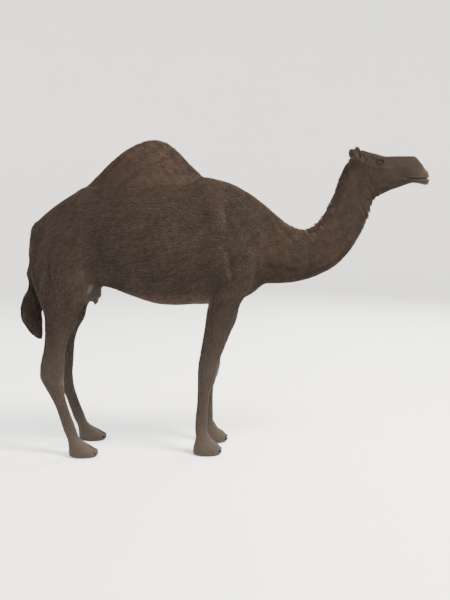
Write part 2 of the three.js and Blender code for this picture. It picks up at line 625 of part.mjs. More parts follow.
function addTail() {
  addPart("tail", solidOf(tailPart("root", BRUSH_CUT)), COAT);
  addPart("tail_brush", solidOf(tailPart(BRUSH_CUT, "brush point", { startGap: GAP })), BRUSH_HAIR);
}

const legs = Object.entries(SIDES).flatMap(([side, sign]) => [
  { name: "foreleg", stations: FORELEG, cuts: FORELEG_CUTS, side, sign, stride: FORE_STRIDE[side] },
  { name: "hindleg", stations: HINDLEG, cuts: HINDLEG_CUTS, side, sign, stride: 0 },
]);
addTrunkAndHump(legs);
addNeck();
addHead();
legs.forEach(addLeg);
addTail();
addPart("udder", padSolid(UDDER), UDDER_SKIN);
addPart("chest_pad", padSolid(CHEST_PAD), PAD_FINISH);

export default camel;
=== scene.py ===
"""A life-size still dromedary cow with a black-brown coat, standing with her head level.

One skin covers all the flesh. It is lofted through named stations, fused at a fine voxel, sculpted with
swellings, ridges and lids, and set in from the solids by the coat's depth. The coat is locks of hair, each
a thin closed mesh that follows the lie of the coat. Eyes, nails, lashes and the chest callus are pieces of
their own. Lengths in the tables are millimetres, +X runs from tail to nose, +Y to her left and +Z up.
"""

import math

import bmesh
import bpy
import numpy as np
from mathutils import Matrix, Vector


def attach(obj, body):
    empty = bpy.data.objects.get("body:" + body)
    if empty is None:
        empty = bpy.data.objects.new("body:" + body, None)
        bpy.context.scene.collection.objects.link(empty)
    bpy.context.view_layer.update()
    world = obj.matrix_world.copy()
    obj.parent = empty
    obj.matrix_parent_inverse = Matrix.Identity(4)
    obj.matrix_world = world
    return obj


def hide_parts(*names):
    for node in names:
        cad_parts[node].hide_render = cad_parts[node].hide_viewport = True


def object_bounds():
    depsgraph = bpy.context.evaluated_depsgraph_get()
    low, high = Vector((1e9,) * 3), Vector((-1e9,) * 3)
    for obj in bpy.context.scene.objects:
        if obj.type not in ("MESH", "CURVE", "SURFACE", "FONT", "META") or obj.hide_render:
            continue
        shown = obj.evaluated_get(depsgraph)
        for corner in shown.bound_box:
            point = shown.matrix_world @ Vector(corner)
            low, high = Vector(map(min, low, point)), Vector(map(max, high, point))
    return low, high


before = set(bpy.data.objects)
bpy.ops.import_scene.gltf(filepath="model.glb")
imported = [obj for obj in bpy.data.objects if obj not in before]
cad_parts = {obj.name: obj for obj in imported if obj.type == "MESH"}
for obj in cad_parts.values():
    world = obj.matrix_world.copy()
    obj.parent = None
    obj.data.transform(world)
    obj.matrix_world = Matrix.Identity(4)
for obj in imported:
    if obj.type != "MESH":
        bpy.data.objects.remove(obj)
CAD_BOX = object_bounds()

MM = 0.001
BOX_LOW, BOX_HIGH = np.array([list(corner) for corner in CAD_BOX]) / MM  # nothing goes past this box
SIDES = {"right": -1, "left": 1}
X, Y, Z = 0, 1, 2

# ------------------------------------------------------------------ driving sizes, in millimetres

# Body stations: top x, top z, bottom x, bottom z, half width, level of the widest part, hump height and
# hump half width.
BODY = {
    "buttock end": (-1300, 1450, -1300, 1255, 52, 0.5, 0, 90),
    "pin bone": (-1272, 1512, -1272, 1190, 118, 0.52, 0, 90),
    "tail root": (-1226, 1581, -1226, 1150, 168, 0.53, 0, 90),
    "rump": (-1160, 1638, -1160, 1122, 202, 0.53, 0, 90),
    "croup": (-1086, 1692, -1086, 1104, 226, 0.52, 0, 90),
    "hips": (-1004, 1742, -1004, 1098, 240, 0.5, 0, 90),
    "loin": (-915, 1792, -915, 1102, 246, 0.46, 0, 90),
    "flank": (-824, 1806, -824, 1123, 256, 0.43, 71, 120),
    "last rib": (-730, 1808, -730, 1100, 272, 0.41, 158, 168),
    "hump rear": (-640, 1812, -640, 1064, 286, 0.41, 220, 196),
    "hump crown": (-545, 1818, -545, 1030, 295, 0.41, 260, 208),
    "hump peak": (-455, 1824, -455, 1004, 299, 0.41, 270, 208),
    "hump front": (-370, 1830, -370, 995, 296, 0.41, 242, 196),
    "hump foot": (-290, 1836, -290, 994, 287, 0.41, 176, 174),
    "shoulder blade": (-205, 1842, -205, 1000, 272, 0.41, 81, 130),
    "girth": (-115, 1853, -115, 1000, 252, 0.41, 0, 90),
    "withers": (-20, 1834, -16, 1006, 233, 0.42, 0, 90),
    "shoulder": (66, 1807, 88, 1018, 217, 0.42, 0, 90),
    "neck base": (142, 1767, 189, 1075, 192, 0.42, 0, 90),
    "brisket": (214, 1721, 283, 1138, 162, 0.43, 0, 90),
    "low neck": (285, 1664, 376, 1141, 140, 0.45, 0, 90),
    "neck dip rear": (369, 1590, 474, 1148, 124, 0.46, 0, 90),
    "neck dip": (455, 1529, 577, 1172, 113, 0.48, 0, 90),
    "neck dip front": (548, 1505, 677, 1213, 105, 0.5, 0, 90),
    "rising neck": (628, 1547, 772, 1273, 98, 0.5, 0, 90),
    "mid neck": (690, 1634, 854, 1363, 92, 0.5, 0, 90),
    "upper neck": (739, 1741, 923, 1477, 87, 0.5, 0, 90),
    "nape": (775, 1854, 975, 1596, 84, 0.5, 0, 90),
    "throat": (817, 1942, 1009, 1698, 83, 0.52, 0, 90),
    "poll": (862, 1991, 1048, 1729, 88, 0.56, 0, 90),
    "crown": (907, 2024, 1086, 1749, 93, 0.6, 0, 90),
    "brow": (963, 2019, 1119, 1765, 95, 0.62, 0, 90),
    "eye": (1013, 2009, 1150, 1775, 88, 0.62, 0, 90),
    "cheek": (1071, 1993, 1178, 1785, 76, 0.58, 0, 90),
    "nose root": (1124, 1993, 1204, 1794, 67, 0.54, 0, 90),
    "nose": (1177, 1994, 1229, 1803, 61, 0.5, 0, 90),
    "muzzle": (1230, 1994, 1258, 1809, 58, 0.46, 0, 90),
    "nose end": (1276, 1991, 1290, 1807, 57, 0.42, 0, 90),
    "nostril": (1308, 1957, 1322, 1803, 56, 0.42, 0, 90),
    "upper lip": (1340, 1914, 1348, 1801, 51, 0.45, 0, 90),
    "lips": (1360, 1884, 1362, 1804, 38, 0.5, 0, 90),
    "lip ends": (1371, 1864, 1370, 1820, 20, 0.5, 0, 90),
}
# Foreleg stations from shoulder to sole: level, front and rear edge, inner and outer distance from the
# midline.
FORELEG = {
    "blade top": (1650, 70, -150, 30, 160),
    "blade": (1520, 128, -168, 40, 210),
    "shoulder point": (1370, 188, -160, 50, 246),
    "upper arm": (1230, 206, -138, 60, 252),
    "elbow top": (1110, 172, -122, 74, 246),
    "elbow": (1010, 111, -108, 88, 233),
    "forearm top": (925, 87, -116, 98, 228),
    "forearm": (845, 55, -125, 104, 219),
    "forearm middle": (765, 25, -137, 108, 211),
    "forearm end": (690, -4, -149, 110, 205),
    "knee top": (620, -29, -160, 104, 205),
    "knee": (550, -36, -164, 100, 206),
    "knee foot": (485, -54, -164, 104, 200),
    "cannon top": (425, -81, -164, 112, 191),
    "cannon": (345, -93, -165, 117, 184),
    "cannon middle": (265, -96, -173, 116, 184),
    "fetlock top": (205, -97, -177, 111, 189),
    "fetlock": (158, -98, -178, 105, 196),
    "pastern": (122, -78, -176, 99, 203),
    "instep": (94, -58, -181, 90, 213),
    "toe top": (68, -22, -188, 79, 225),
    "toe": (44, -2, -194, 70, 234),
    "pad top": (22, 4, -196, 66, 238),
    "pad": (8, 2, -194, 69, 235),
    "sole": (0, -10, -182, 79, 225),
}
# Hind leg stations from hip to sole, as for the foreleg.
HINDLEG = {
    "hip top": (1655, -1005, -1090, 70, 122),
    "hip": (1570, -950, -1158, 55, 188),
    "thigh top": (1450, -900, -1236, 45, 232),
    "thigh": (1330, -868, -1276, 38, 257),
    "thigh middle": (1220, -852, -1272, 34, 262),
    "stifle top": (1130, -856, -1252, 40, 259),
    "stifle": (1050, -899, -1222, 62, 254),
    "gaskin top": (970, -951, -1192, 88, 240),
    "gaskin": (890, -973, -1179, 108, 227),
    "gaskin middle": (810, -1020, -1179, 118, 220),
    "gaskin end": (725, -1047, -1188, 125, 215),
    "hock top": (645, -1056, -1205, 129, 214),
    "hock point": (580, -1061, -1218, 127, 218),
    "hock": (525, -1065, -1220, 122, 213),
    "hock foot": (465, -1067, -1191, 126, 208),
    "hind cannon top": (400, -1061, -1156, 132, 203),
    "hind cannon": (330, -1043, -1122, 138, 202),
    "hind cannon middle": (258, -1020, -1098, 141, 205),
    "ankle top": (200, -999, -1079, 142, 212),
    "ankle": (156, -984, -1064, 140, 223),
    "hind pastern": (122, -968, -1050, 137, 235),
    "hind instep": (94, -938, -1043, 135, 252),
    "hind toe top": (68, -891, -1040, 128, 265),
    "hind toe": (44, -852, -1040, 122, 276),
    "hind pad top": (22, -834, -1040, 119, 281),
    "hind pad": (8, -838, -1034, 122, 278),
    "hind sole": (0, -850, -1018, 133, 267),
}
# The tail's path and its half depth and half width.
TAIL = {
    "root": (-1208, 1562, 32, 44),
    "root end": (-1262, 1508, 30, 40),
    "tail top": (-1276, 1440, 27, 34),
    "tail middle": (-1293, 1360, 22, 29),
    "tail low": (-1293, 1280, 22, 29),
    "tail knot": (-1303, 1208, 31, 36),
    "brush root": (-1292, 1140, 30, 36),
    "brush head": (-1285, 1090, 48, 46),
    "brush": (-1303, 1030, 70, 56),
    "brush middle": (-1305, 960, 76, 58),
    "brush low": (-1304, 890, 74, 54),
    "brush end": (-1286, 825, 54, 42),
    "brush tip": (-1264, 778, 30, 24),
    "brush point": (-1250, 757, 8, 8),
}
UPPER_POWER, LOWER_POWER, LEG_POWER = 2.1, 2.15, 2.25  # how square the sections are: 2 is an ellipse
HUMP_BLEND = 0.3  # how softly the hump rises out of the back
# Each leg's stations, its toe station, and how far each side's foot is moved forward in the stride.
LEGS = {
    "foreleg": {"table": FORELEG, "toe": FORELEG["toe"], "stride": {"right": -15, "left": 26}},
    "hindleg": {"table": HINDLEG, "toe": HINDLEG["hind toe"], "stride": {"right": 0, "left": 0}},
}
STRIDE_FADES_AT = 1000  # the level over which a leg isn't moved

# Swellings and hollows, both sides alike: place, reach along x, y and z, and how far they push out.
FORMS = {
    "hip bone": ((-985, 225, 1640), (62, 60, 55), 20),
    "pin bone": ((-1265, 105, 1470), (45, 50, 55), 14),
    "flank hollow": ((-860, 248, 1480), (80, 70, 120), -26),
    "shoulder blade edge": ((-70, 198, 1640), (60, 70, 130), 23),
    "behind the elbow": ((-175, 222, 1200), (60, 70, 130), -21),
    "shoulder point": ((150, 188, 1370), (70, 70, 90), 18),
    "brisket": ((190, 0, 1085), (80, 70, 50), 8),
    "upper arm muscle": ((-55, 230, 1330), (70, 60, 110), 15),
    "blade hollow": ((20, 200, 1600), (34, 60, 110), -11),
    "thigh muscle": ((-1010, 245, 1300), (90, 70, 150), 15),
    "thigh hollow": ((-1130, 250, 1240), (26, 60, 170), -13),
    "stifle": ((-880, 235, 1130), (42, 50, 46), 12),
    "gaskin muscle": ((-1010, 225, 900), (40, 40, 100), 7),
    "heel cord hollow": ((-1138, 180, 780), (20, 60, 90), -12),
    "forearm muscle": ((50, 190, 930), (50, 50, 80), 8),
    "brow ridge": ((1012, 84, 1992), (34, 24, 18), 13),
    "eye socket": ((1026, 96, 1950), (30, 34, 22), -9),
    "cheekbone": ((1046, 86, 1912), (52, 30, 18), 5),
    "jaw muscle": ((985, 78, 1850), (58, 40, 66), 12),
    "temple": ((948, 92, 1985), (26, 30, 22), -6),
    "crown": ((922, 0, 2026), (34, 46, 26), 7),
    "cheek hollow": ((1130, 66, 1880), (60, 30, 40), -6),
    "nostril wing": ((1300, 48, 1936), (24, 20, 24), 8),
    "upper lip": ((1345, 30, 1880), (28, 22, 22), 8),
    "lip cleft": ((1366, 0, 1882), (20, 8, 30), -10),
    "lower lip": ((1352, 0, 1816), (24, 32, 16), 8),
    "lip corner": ((1340, 62, 1850), (26, 22, 26), -7),
    "chin hollow": ((1285, 0, 1806), (40, 50, 18), -4),
    "lower cheek": ((1205, 58, 1830), (45, 26, 18), 5),
    "nose side hollow": ((1210, 60, 1945), (60, 26, 16), -5),
    "below the eye": ((1075, 84, 1935), (26, 24, 10), -4),
}

# Raised or sunken lines: the points they run through, how wide they are, and how far they push out.
RIDGES = {
    "beside the tail": ([(-1246, 62, 1530), (-1262, 58, 1360), (-1250, 56, 1170)], 21, -32),
    "blade spine": ([(-10, 170, 1760), (60, 215, 1600), (120, 215, 1440)], 24, 7),
    "muscle groove": ([(-30, 250, 1480), (40, 255, 1330), (60, 250, 1190)], 20, -8),
    "thigh groove": ([(-1100, 225, 1560), (-1140, 250, 1380), (-1120, 262, 1160)], 18, -7),
    "flank fold": ([(-830, 240, 1330), (-862, 262, 1210), (-880, 262, 1110)], 22, 9),
    "neck furrow": (
        [(960, 60, 1700), (880, 66, 1500), (740, 78, 1330), (520, 100, 1230), (300, 140, 1260)], 17, -6
    ),
    "neck bones": (
        [(830, 78, 1850), (760, 84, 1650), (640, 96, 1460), (500, 108, 1390), (330, 132, 1440)], 26, 5
    ),
    "cheek bone line": ([(1090, 78, 1904), (1030, 88, 1912), (960, 96, 1922), (905, 96, 1945)], 12, 3),
    "jaw line": ([(1180, 50, 1808), (1090, 62, 1796), (1010, 66, 1790)], 10, 4),
    "jaw groove": ([(940, 78, 1900), (960, 84, 1830), (1000, 80, 1790)], 12, -4),
    "nose bone edge": ([(1060, 62, 1975), (1150, 52, 1976), (1250, 44, 1976)], 9, 2.5),
    "brow fold": ([(990, 92, 1986), (1022, 94, 1990), (1054, 84, 1980)], 5, 2.5),
    "heel cord": ([(-1172, 170, 900), (-1196, 170, 700), (-1214, 172, 600)], 13, 5),
    "shank tendon": ([(-160, 152, 430), (-172, 150, 230)], 12, 4),
    "tendon groove": ([(-140, 190, 430), (-148, 188, 220)], 9, -4),
    "hock groove": ([(-1150, 212, 620), (-1120, 206, 520)], 16, -5),
}
# Openings in the side of the head: the centre, and how the way out is turned forward and up from
# straight aside and the slit rolled from level, in degrees.
EYE = {"at": (1026, 79, 1950), "turn": (14, 6, -16), "radius": 19.5, "hole": 33}
EYE |= {"length": 17.5, "upper": 10.5, "lower": 9.0}  # the opened lids
NOSTRIL = {"at": (1311, 47, 1931), "turn": (38, 22, -48), "length": 17, "height": 3.6, "hole": 23}
MOUTH = {"corner": (1178, 1852), "front": (1376, 1846), "width": 3.6, "depth": 9, "bow": 5}
EAR = {"at": (880, 101, 2002), "lean": -20, "splay": 28, "turn": 44, "wall": 9}
EAR_LINE = [(897, 78, 1962), (880, 101, 2002), (864, 124, 2044)]
# Ear sections: height up the ear, half width, depth, and how far the rim wraps round, in degrees.
EAR_SECTIONS = [
    (-72, 11, 10, 175),
    (-52, 16, 13, 172),
    (-34, 23, 16, 158),
    (-16, 29, 19, 136),
    (2, 33, 20, 118),
    (20, 32, 19, 106),
    (36, 26, 15, 98),
    (47, 16, 10, 92),
    (53, 7, 5, 90),
]
UDDER = {"at": (-897, 0, 1082), "radii": (74, 87, 66)}
TEATS = {"at": ((-866, 36, 1019), (-928, 33, 1019)), "radii": (16, 15, 28)}
CHEST_PAD = {"at": (-16, 0, 1010), "radii": (96, 64, 30)}
NAIL = {"long": 21, "wide": 15.5, "high": 16, "sunk": 13.5, "level": 27, "spread": 34}
VOXEL = 6
SKIN_TRIANGLES = 186000

# Zones of the body: each row is an axis, where the zone starts to set in and where it is full. y is
# taken without its sign.
ZONES = {
    "hump": [(Z, 1690, 2020), (X, -1000, -800), (X, -100, -300)],
    "hump's sides": [(Z, 1800, 1900), (X, -950, -850), (X, -150, -250)],
    "top line": [(Y, 120, 20), (Z, 1700, 1800), (X, 260, 60)],
    "tail's depth": [(X, -1225, -1252), (Y, 96, 74), (Z, 1620, 1540)],
    "tail's lie": [(X, -1240, -1262), (Y, 60, 48)],
    "tail's join": [(X, -1235, -1262), (Y, 60, 45)],
    "neck": [(X, 230, 420)],
    "trunk": [(X, 330, 120)],
    "rump": [(X, -950, -1230)],
    "head": [(X, 880, 985), (Z, 1640, 1760)],
    "fine head": [(X, 850, 950), (Z, 1640, 1700)],
    "lips": [(X, 1315, 1345)],
    "lip slit": [(X, 1185, 1200)],
    "lip ends": [(X, 1352, 1358)],
    "legs": [(Z, 1180, 840), (X, 400, 200)],
    "fore lie": [(Z, 1250, 1000), (X, 330, 250), (X, -330, -250)],
    "hind lie": [(Z, 1350, 1080), (X, -760, -860)],
    "joins": [(Z, 940, 1060), (Z, 1780, 1640), (X, 330, 230), (X, -1330, -1230)],
    "udder's join": [(Z, 1085, 1050), (X, -1010, -980), (X, -790, -820)],
    "above the soles": [(Z, 90, 190), (Y, 309, 294), (X, 1350, 1320)],
    "ribs": [(X, -780, -560), (X, -190, -320), (Y, 120, 200)],
}
# How deep the coat lies, in millimetres. Some add to what they lie over.
DEPTH = {"trunk": 8, "tail": -3.5, "hump": 9, "top line": 4, "neck": 1, "crest": 5}
DEPTH |= {"face": 3.2, "cheek": 1.2, "ear": 3.2, "lips": 1.5, "lids": 1.6, "udder": 1.6}
DEPTH |= {"pastern": 2.1, "shank": 1.1, "thigh": 2.3}
HAIR_THICK = 1.2  # how far a lock's own thickness stands over the coat's depth

# ------------------------------------------------------------------ curves and closed shells


def ramp(low, high, value):
    """0 at low, 1 at high, and a smooth S between them."""
    t = np.clip((value - low) / (high - low), 0, 1)
    return t * t * (3 - 2 * t)


def bell(offset, width):
    """1 at no offset, falling off on both sides: e to the power of minus the square of offset / width."""
    return np.exp(-((offset / width) ** 2))


def length_of(vectors):
    """Each vector's length: the root of its squares' sum."""
    return np.linalg.norm(vectors, axis=-1)


def unit(vectors, least=1e-6):
    """Vectors made one long: each over its own length and a least amount."""
    return vectors / (length_of(vectors)[..., None] + least)


def xyz(*numbers):
    """Points from an array or a number for each of their coordinates."""
    return np.stack(np.broadcast_arrays(*numbers), -1)


def mirrored(points):
    """Points of both sides laid over her left side: x, y without its sign, and z."""
    return np.where([False, True, False], np.abs(points), points)


def zone(name, points):
    """1 in a zone and 0 outside: the product of a ramp along the axis of each of its rows."""
    share = np.ones(len(points))
    for axis, start, full in ZONES[name]:
        share = share * ramp(start, full, mirrored(points)[:, axis])
    return share


def spline(stations, places):
    """Rows of a station table read at places: a Catmull-Rom curve through evenly numbered rows."""
    rows = np.array(list(stations), float)
    last = len(rows) - 1
    i = np.clip(np.floor(places).astype(int), 0, last - 1)
    f = (places - i)[:, None]
    before, start, end, after = (rows[np.clip(i + k, 0, last)] for k in (-1, 0, 1, 2))
    cubic = 3 * (start - end) + after - before
    return start + 0.5 * f * (end - before + f * (2 * before - 5 * start + 4 * end - after + f * cubic))


def stations_of(table, count):
    """Columns of a station table read at evenly spaced places from its first row to its last."""
    return spline(table.values(), np.linspace(0, len(table) - 1, count)).T[..., None]


def oval_radius(across, up, half, height, power):
    """Distance from the centre to the edge of a superellipse in the direction (across, up)."""
    return (np.abs(across / half) ** power + np.abs(up / height) ** power) ** (-1 / power)


def ring_angles(around):
    """Cosine and sine of even steps round a circle, from its lowest point."""
    angle = 2 * np.pi * np.arange(around) / around - np.pi / 2
    return np.cos(angle), np.sin(angle)


def body_grid(rings=500, around=160):
    """Rings of the body: an oval above and below the widest level, the hump's narrower oval over it."""
    top_x, top_z, low_x, low_z, half, widest, rise, hump_half = stations_of(BODY, rings)
    across, up = ring_angles(around)
    tall = np.hypot(top_x - low_x, top_z - low_z)
    above = (1 - widest) * tall
    rise = np.maximum(rise, 0)
    upper = oval_radius(across, up, half, above, UPPER_POWER)
    proud = oval_radius(across, up, hump_half, above + rise, 2) - upper
    upper = upper + 0.5 * (proud + np.hypot(proud, HUMP_BLEND * rise)) * (rise > 0)
    radius = np.where(up < 0, oval_radius(across, up, half, widest * tall, LOWER_POWER), upper)
    lift = widest * tall + radius * up
    x = low_x + (top_x - low_x) / tall * lift
    z = low_z + (top_z - low_z) / tall * lift
    return xyz(x, radius * across, z)


def leg_grid(leg, side, rings=160, around=72):
    """Level rings of a leg, each a superellipse between its front, rear, inner and outer edges."""
    z, front, rear, inner, outer = stations_of(LEGS[leg]["table"], rings)
    forward = LEGS[leg]["stride"][side] * np.maximum(1 - z / STRIDE_FADES_AT, 0)
    across, up = ring_angles(around)
    radius = oval_radius(across, up, (outer - inner) / 2, (front - rear) / 2, LEG_POWER)
    x = (front + rear) / 2 + forward + radius * up
    y = SIDES[side] * (inner + outer) / 2 + radius * across
    return xyz(x, y, z)


def tail_grid(rings=120, around=32):
    """Rings of the tail's bone square to its path, each an ellipse that tapers on inside the brush."""
    names = list(TAIL)
    places = np.linspace(0, names.index("brush end"), rings)
    x, z, deep, half = spline(TAIL.values(), places).T[..., None]
    bone = np.interp(places, [names.index("tail knot"), names.index("brush low")], [31, 8])[:, None]
    deep, half = np.minimum(deep, bone), np.minimum(half, bone)
    slope_x, slope_z = np.gradient(x[:, 0]), np.gradient(z[:, 0])
    length = np.hypot(slope_x, slope_z)
    across, up = ring_angles(around)
    x = x - (slope_z / length)[:, None] * up * deep
    z = z + (slope_x / length)[:, None] * up * deep
    return xyz(x, across * half, z)


def egg_grid(centre, radii, rings=14, around=20):
    """Rings of an ellipsoid from its top to its bottom: centre + radii x a sphere's directions."""
    polar = np.pi * (np.arange(rings) + 0.5)[:, None] / rings
    across, up = ring_angles(around)
    directions = xyz(np.sin(polar) * up, np.sin(polar) * across, np.cos(polar))
    return np.array(centre, float) + directions * np.array(radii, float)


def turned(rx, ry, rz):
    """Rotation matrix of turns about x, then y, then z in the turned frame, in degrees."""
    (a, b, c), (d, e, f) = np.cos(np.radians([rx, ry, rz])), np.sin(np.radians([rx, ry, rz]))
    about_x = np.array([[1, 0, 0], [0, a, -d], [0, d, a]])
    about_y = np.array([[b, 0, e], [0, 1, 0], [-e, 0, b]])
    about_z = np.array([[c, -f, 0], [f, c, 0], [0, 0, 1]])
    return about_x @ about_y @ about_z


def ear_grid(side, rings=26):
    """Rings up an ear, each a crescent: an outer arc and back along an inner arc one wall inside it."""
    sign = SIDES[side]
    places = np.linspace(0, len(EAR_SECTIONS) - 1, rings)
    height, half, deep, wrap = spline(EAR_SECTIONS, places).T[..., None]
    turn = np.linspace(-1, 1, 15)
    angle = np.radians(wrap) * np.concatenate([turn, turn[::-1]])
    wall = np.minimum(EAR["wall"], 0.6 * deep) * np.repeat([0, 1], len(turn))
    local = xyz(-(deep - wall) * np.cos(angle), (half - wall) * np.sin(angle) * sign, height)
    frame_of_ear = turned(-sign * EAR["splay"], EAR["lean"], sign * EAR["turn"])
    return np.array(EAR["at"]) * [1, sign, 1] + local @ frame_of_ear.T


def shell_faces(rings, around):
    """Quads of a wrapped grid of rings and the triangles to a pole in the middle of each end."""
    r, k = np.meshgrid(np.arange(rings - 1), np.arange(around), indexing="ij")
    a, b = r * around + k, r * around + (k + 1) % around
    quads = xyz(a, b, b + around, a + around).reshape(-1, 4)
    k = np.arange(around)
    after = (k + 1) % around
    first, last = rings * around, rings * around + 1
    start = xyz(first, after, k)
    end = xyz(last, k + around * (rings - 1), after + around * (rings - 1))
    return quads.tolist() + start.tolist() + end.tolist()


def shell(grid):
    """Points and faces of a closed shell through a grid of rings."""
    rings, around, _ = grid.shape
    points = np.concatenate([grid.reshape(-1, 3), grid[:1].mean(1), grid[-1:].mean(1)])
    return points, shell_faces(rings, around)


def joined(shells):
    """Several shells as one list of points and one of faces."""
    points, faces, count = [], [], 0
    for some_points, some_faces in shells:
        faces += [[i + count for i in face] for face in some_faces]
        points.append(some_points)
        count += len(some_points)
    return np.concatenate(points), faces


# ------------------------------------------------------------------ meshes


def placed(name, data):
    """A new object at the origin, in the scene."""
    piece = bpy.data.objects.new(name, data)
    bpy.context.scene.collection.objects.link(piece)
    return piece


def new_object(name, points, faces):
    """A mesh object at the origin, from points in millimetres."""
    mesh = bpy.data.meshes.new(name)
    mesh.from_pydata((np.asarray(points) * MM).tolist(), [], faces)
    return placed(name, mesh)


def solid(name, grid):
    """A smooth closed piece through a grid of rings, its faces turned outward."""
    piece = new_object(name, *shell(grid))
    edited(piece.data, lambda work: bmesh.ops.recalc_face_normals(work, faces=work.faces))
    piece.data.shade_smooth()
    return piece


def edited(mesh, change):
    """Opens a mesh for editing, makes one change to it, and puts it back."""
    work = bmesh.new()
    work.from_mesh(mesh)
    work.verts.ensure_lookup_table()
    change(work)
    work.to_mesh(mesh)
    work.free()


def apply_modifiers(piece):
    """The piece keeps what its modifiers make, and loses them."""
    bpy.context.view_layer.update()
    mesh = bpy.data.meshes.new_from_object(piece.evaluated_get(bpy.context.evaluated_depsgraph_get()))
    piece.modifiers.clear()
    piece.data = mesh


def read(items, what, width, kind=np.float32):
    """One value of every item of a mesh, as an array with width numbers to a row."""
    flat = np.empty(len(items) * width, kind)
    items.foreach_get(what, flat)
    return flat.reshape(-1, width)


def write(items, what, values, kind=np.float32):
    """Gives every item of a mesh its value."""
    items.foreach_set(what, np.asarray(values).astype(kind).ravel())


def points_of(mesh):
    """A mesh's points in millimetres."""
    return read(mesh.vertices, "co", 3).astype(float) / MM


def set_points(mesh, points):
    """Moves a mesh's points to new ones in millimetres."""
    write(mesh.vertices, "co", points * MM)
    mesh.update()


def edges_of(mesh):
    """The two points of each edge."""
    return read(mesh.edges, "vertices", 2, np.int32)


def normals_of(mesh):
    """The outward direction at each point."""
    return read(mesh.vertex_normals, "vector", 3).astype(float)


def triangles_of(mesh):
    """The three points of each triangle."""
    mesh.calc_loop_triangles()
    return read(mesh.loop_triangles, "vertices", 3, np.int32)


def neighbour_mean(values, edges):
    """Each vertex's mean of its neighbours' values, from sums over the edges."""
    count = np.bincount(edges.ravel(), minlength=len(values)).clip(1)
    ends = np.concatenate([edges[:, 0], edges[:, 1]])
    others = np.concatenate([edges[:, 1], edges[:, 0]])
    sums = [np.bincount(ends, values[others, axis], len(values)) for axis in range(values.shape[1])]
    return np.stack(sums, -1) / count[:, None]


def relaxed(values, edges, weight, rounds):
    """Values drawn toward their neighbours' mean, round after round, by a weight from 0 to 1."""
    weight = weight + np.zeros(len(values))
    moving = weight > 0
    edges = edges[moving[edges[:, 0]] | moving[edges[:, 1]]]
    used, inner = np.unique(edges, return_inverse=True)
    inner = inner.reshape(edges.shape)
    some, weight = values[used], weight[used][:, None]
    for _ in range(rounds):
        some = some + weight * (neighbour_mean(some, inner) - some)
    values = values.copy()
    values[used] = some
    return values


# ------------------------------------------------------------------ the skin


def fused_flesh():
    """Body, legs, tail, ears and udder as one closed mesh, joined at a fine voxel."""
    grids = [body_grid()]
    for side in SIDES:
        grids += [leg_grid(leg, side) for leg in LEGS]
        grids.append(ear_grid(side))
    grids += [tail_grid(), egg_grid(UDDER["at"], UDDER["radii"])]
    for x, y, z in TEATS["at"]:
        grids += [egg_grid((x, sign * y, z), TEATS["radii"]) for sign in SIDES.values()]
    flesh = new_object("skin", *joined([shell(grid) for grid in grids]))
    fuse = flesh.modifiers.new("fuse", "REMESH")
    fuse.mode = "VOXEL"
    fuse.voxel_size = VOXEL * MM
    apply_modifiers(flesh)
    return flesh


def within(points, corners, margin):
    """Indices of the points in the box round some corners, with a margin."""
    low, high = np.min(corners, 0) - margin, np.max(corners, 0) + margin
    return np.flatnonzero(np.all((points > low) & (points < high), 1))


def distance_to_line(points, line):
    """Each point's distance to the nearest stretch of a line of points."""
    line = np.array(line, float)
    nearest = np.full(len(points), np.inf)
    for start, end in zip(line[:-1], line[1:]):
        along = end - start
        share = np.clip((points - start) @ along / (along @ along), 0, 1)
        nearest = np.minimum(nearest, length_of(points - start - share[:, None] * along))
    return nearest


def push_of(points):
    """How far the forms and ridges push each point out: a soft hill or hollow round each."""
    points = mirrored(points)
    push = np.zeros(len(points))
    for at, reach, height in FORMS.values():
        near = within(points, [at], 2.5 * np.array(reach))
        push[near] += height * np.exp(-np.sum(((points[near] - at) / reach) ** 2, 1))
    for line, reach, height in RIDGES.values():
        near = within(points, line, 2.5 * reach)
        push[near] += height * bell(distance_to_line(points[near], line), reach)
    return push


def coat_depth(points, height):
    """How deep the coat lies on the skin: deep on the hump and crest, thin on the face, legs and feet.

    The trunk's depth, with what tail, hump, top line and neck add, is drawn to its own depth in each zone
    of a list, and to nothing at the soles.
    """
    x, _, z = points.T
    left = mirrored(points)
    hump = zone("hump", points)
    depth = DEPTH["trunk"] + DEPTH["tail"] * zone("tail's depth", points)
    depth = depth + DEPTH["hump"] * hump + DEPTH["top line"] * zone("top line", points) * (1 - hump)
    crest = DEPTH["neck"] + DEPTH["crest"] * ramp(0.55, 0.95, np.abs(height))
    depth = depth + zone("neck", points) * crest
    leg = DEPTH["pastern"] + DEPTH["shank"] * ramp(90, 220, z) + DEPTH["thigh"] * ramp(520, 900, z)
    udder = length_of((left - UDDER["at"]) / UDDER["radii"])
    for share, own in (
        (zone("head", points), DEPTH["face"] + DEPTH["cheek"] * ramp(1200, 1000, x)),
        (ramp(66, 40, distance_to_line(left, EAR_LINE)), DEPTH["ear"]),
        (zone("lips", points), DEPTH["lips"]),
        (ramp(36, 27, length_of(left - EYE["at"])), DEPTH["lids"]),
        (zone("legs", points), leg),
        (ramp(1.3, 1.02, udder), DEPTH["udder"]),
    ):
        depth = depth * (1 - share) + own * share
    return depth * ramp(0, 26, z + 0.6)


def on_ears(points):
    """1 on the ears and 0 elsewhere: near an ear's middle line and clear of the head's side."""
    left = mirrored(points)
    clear = np.maximum(ramp(90, 97, left[:, Y]), ramp(2022, 2030, left[:, Z]))
    return ramp(46, 36, distance_to_line(left, EAR_LINE)) * clear


AXIS_STEPS = 8  # samples to a station on the body's middle line
TOO_FAR = {"from": 1.25, "cost": 400}  # past so many half heights, a section counts as so much further off


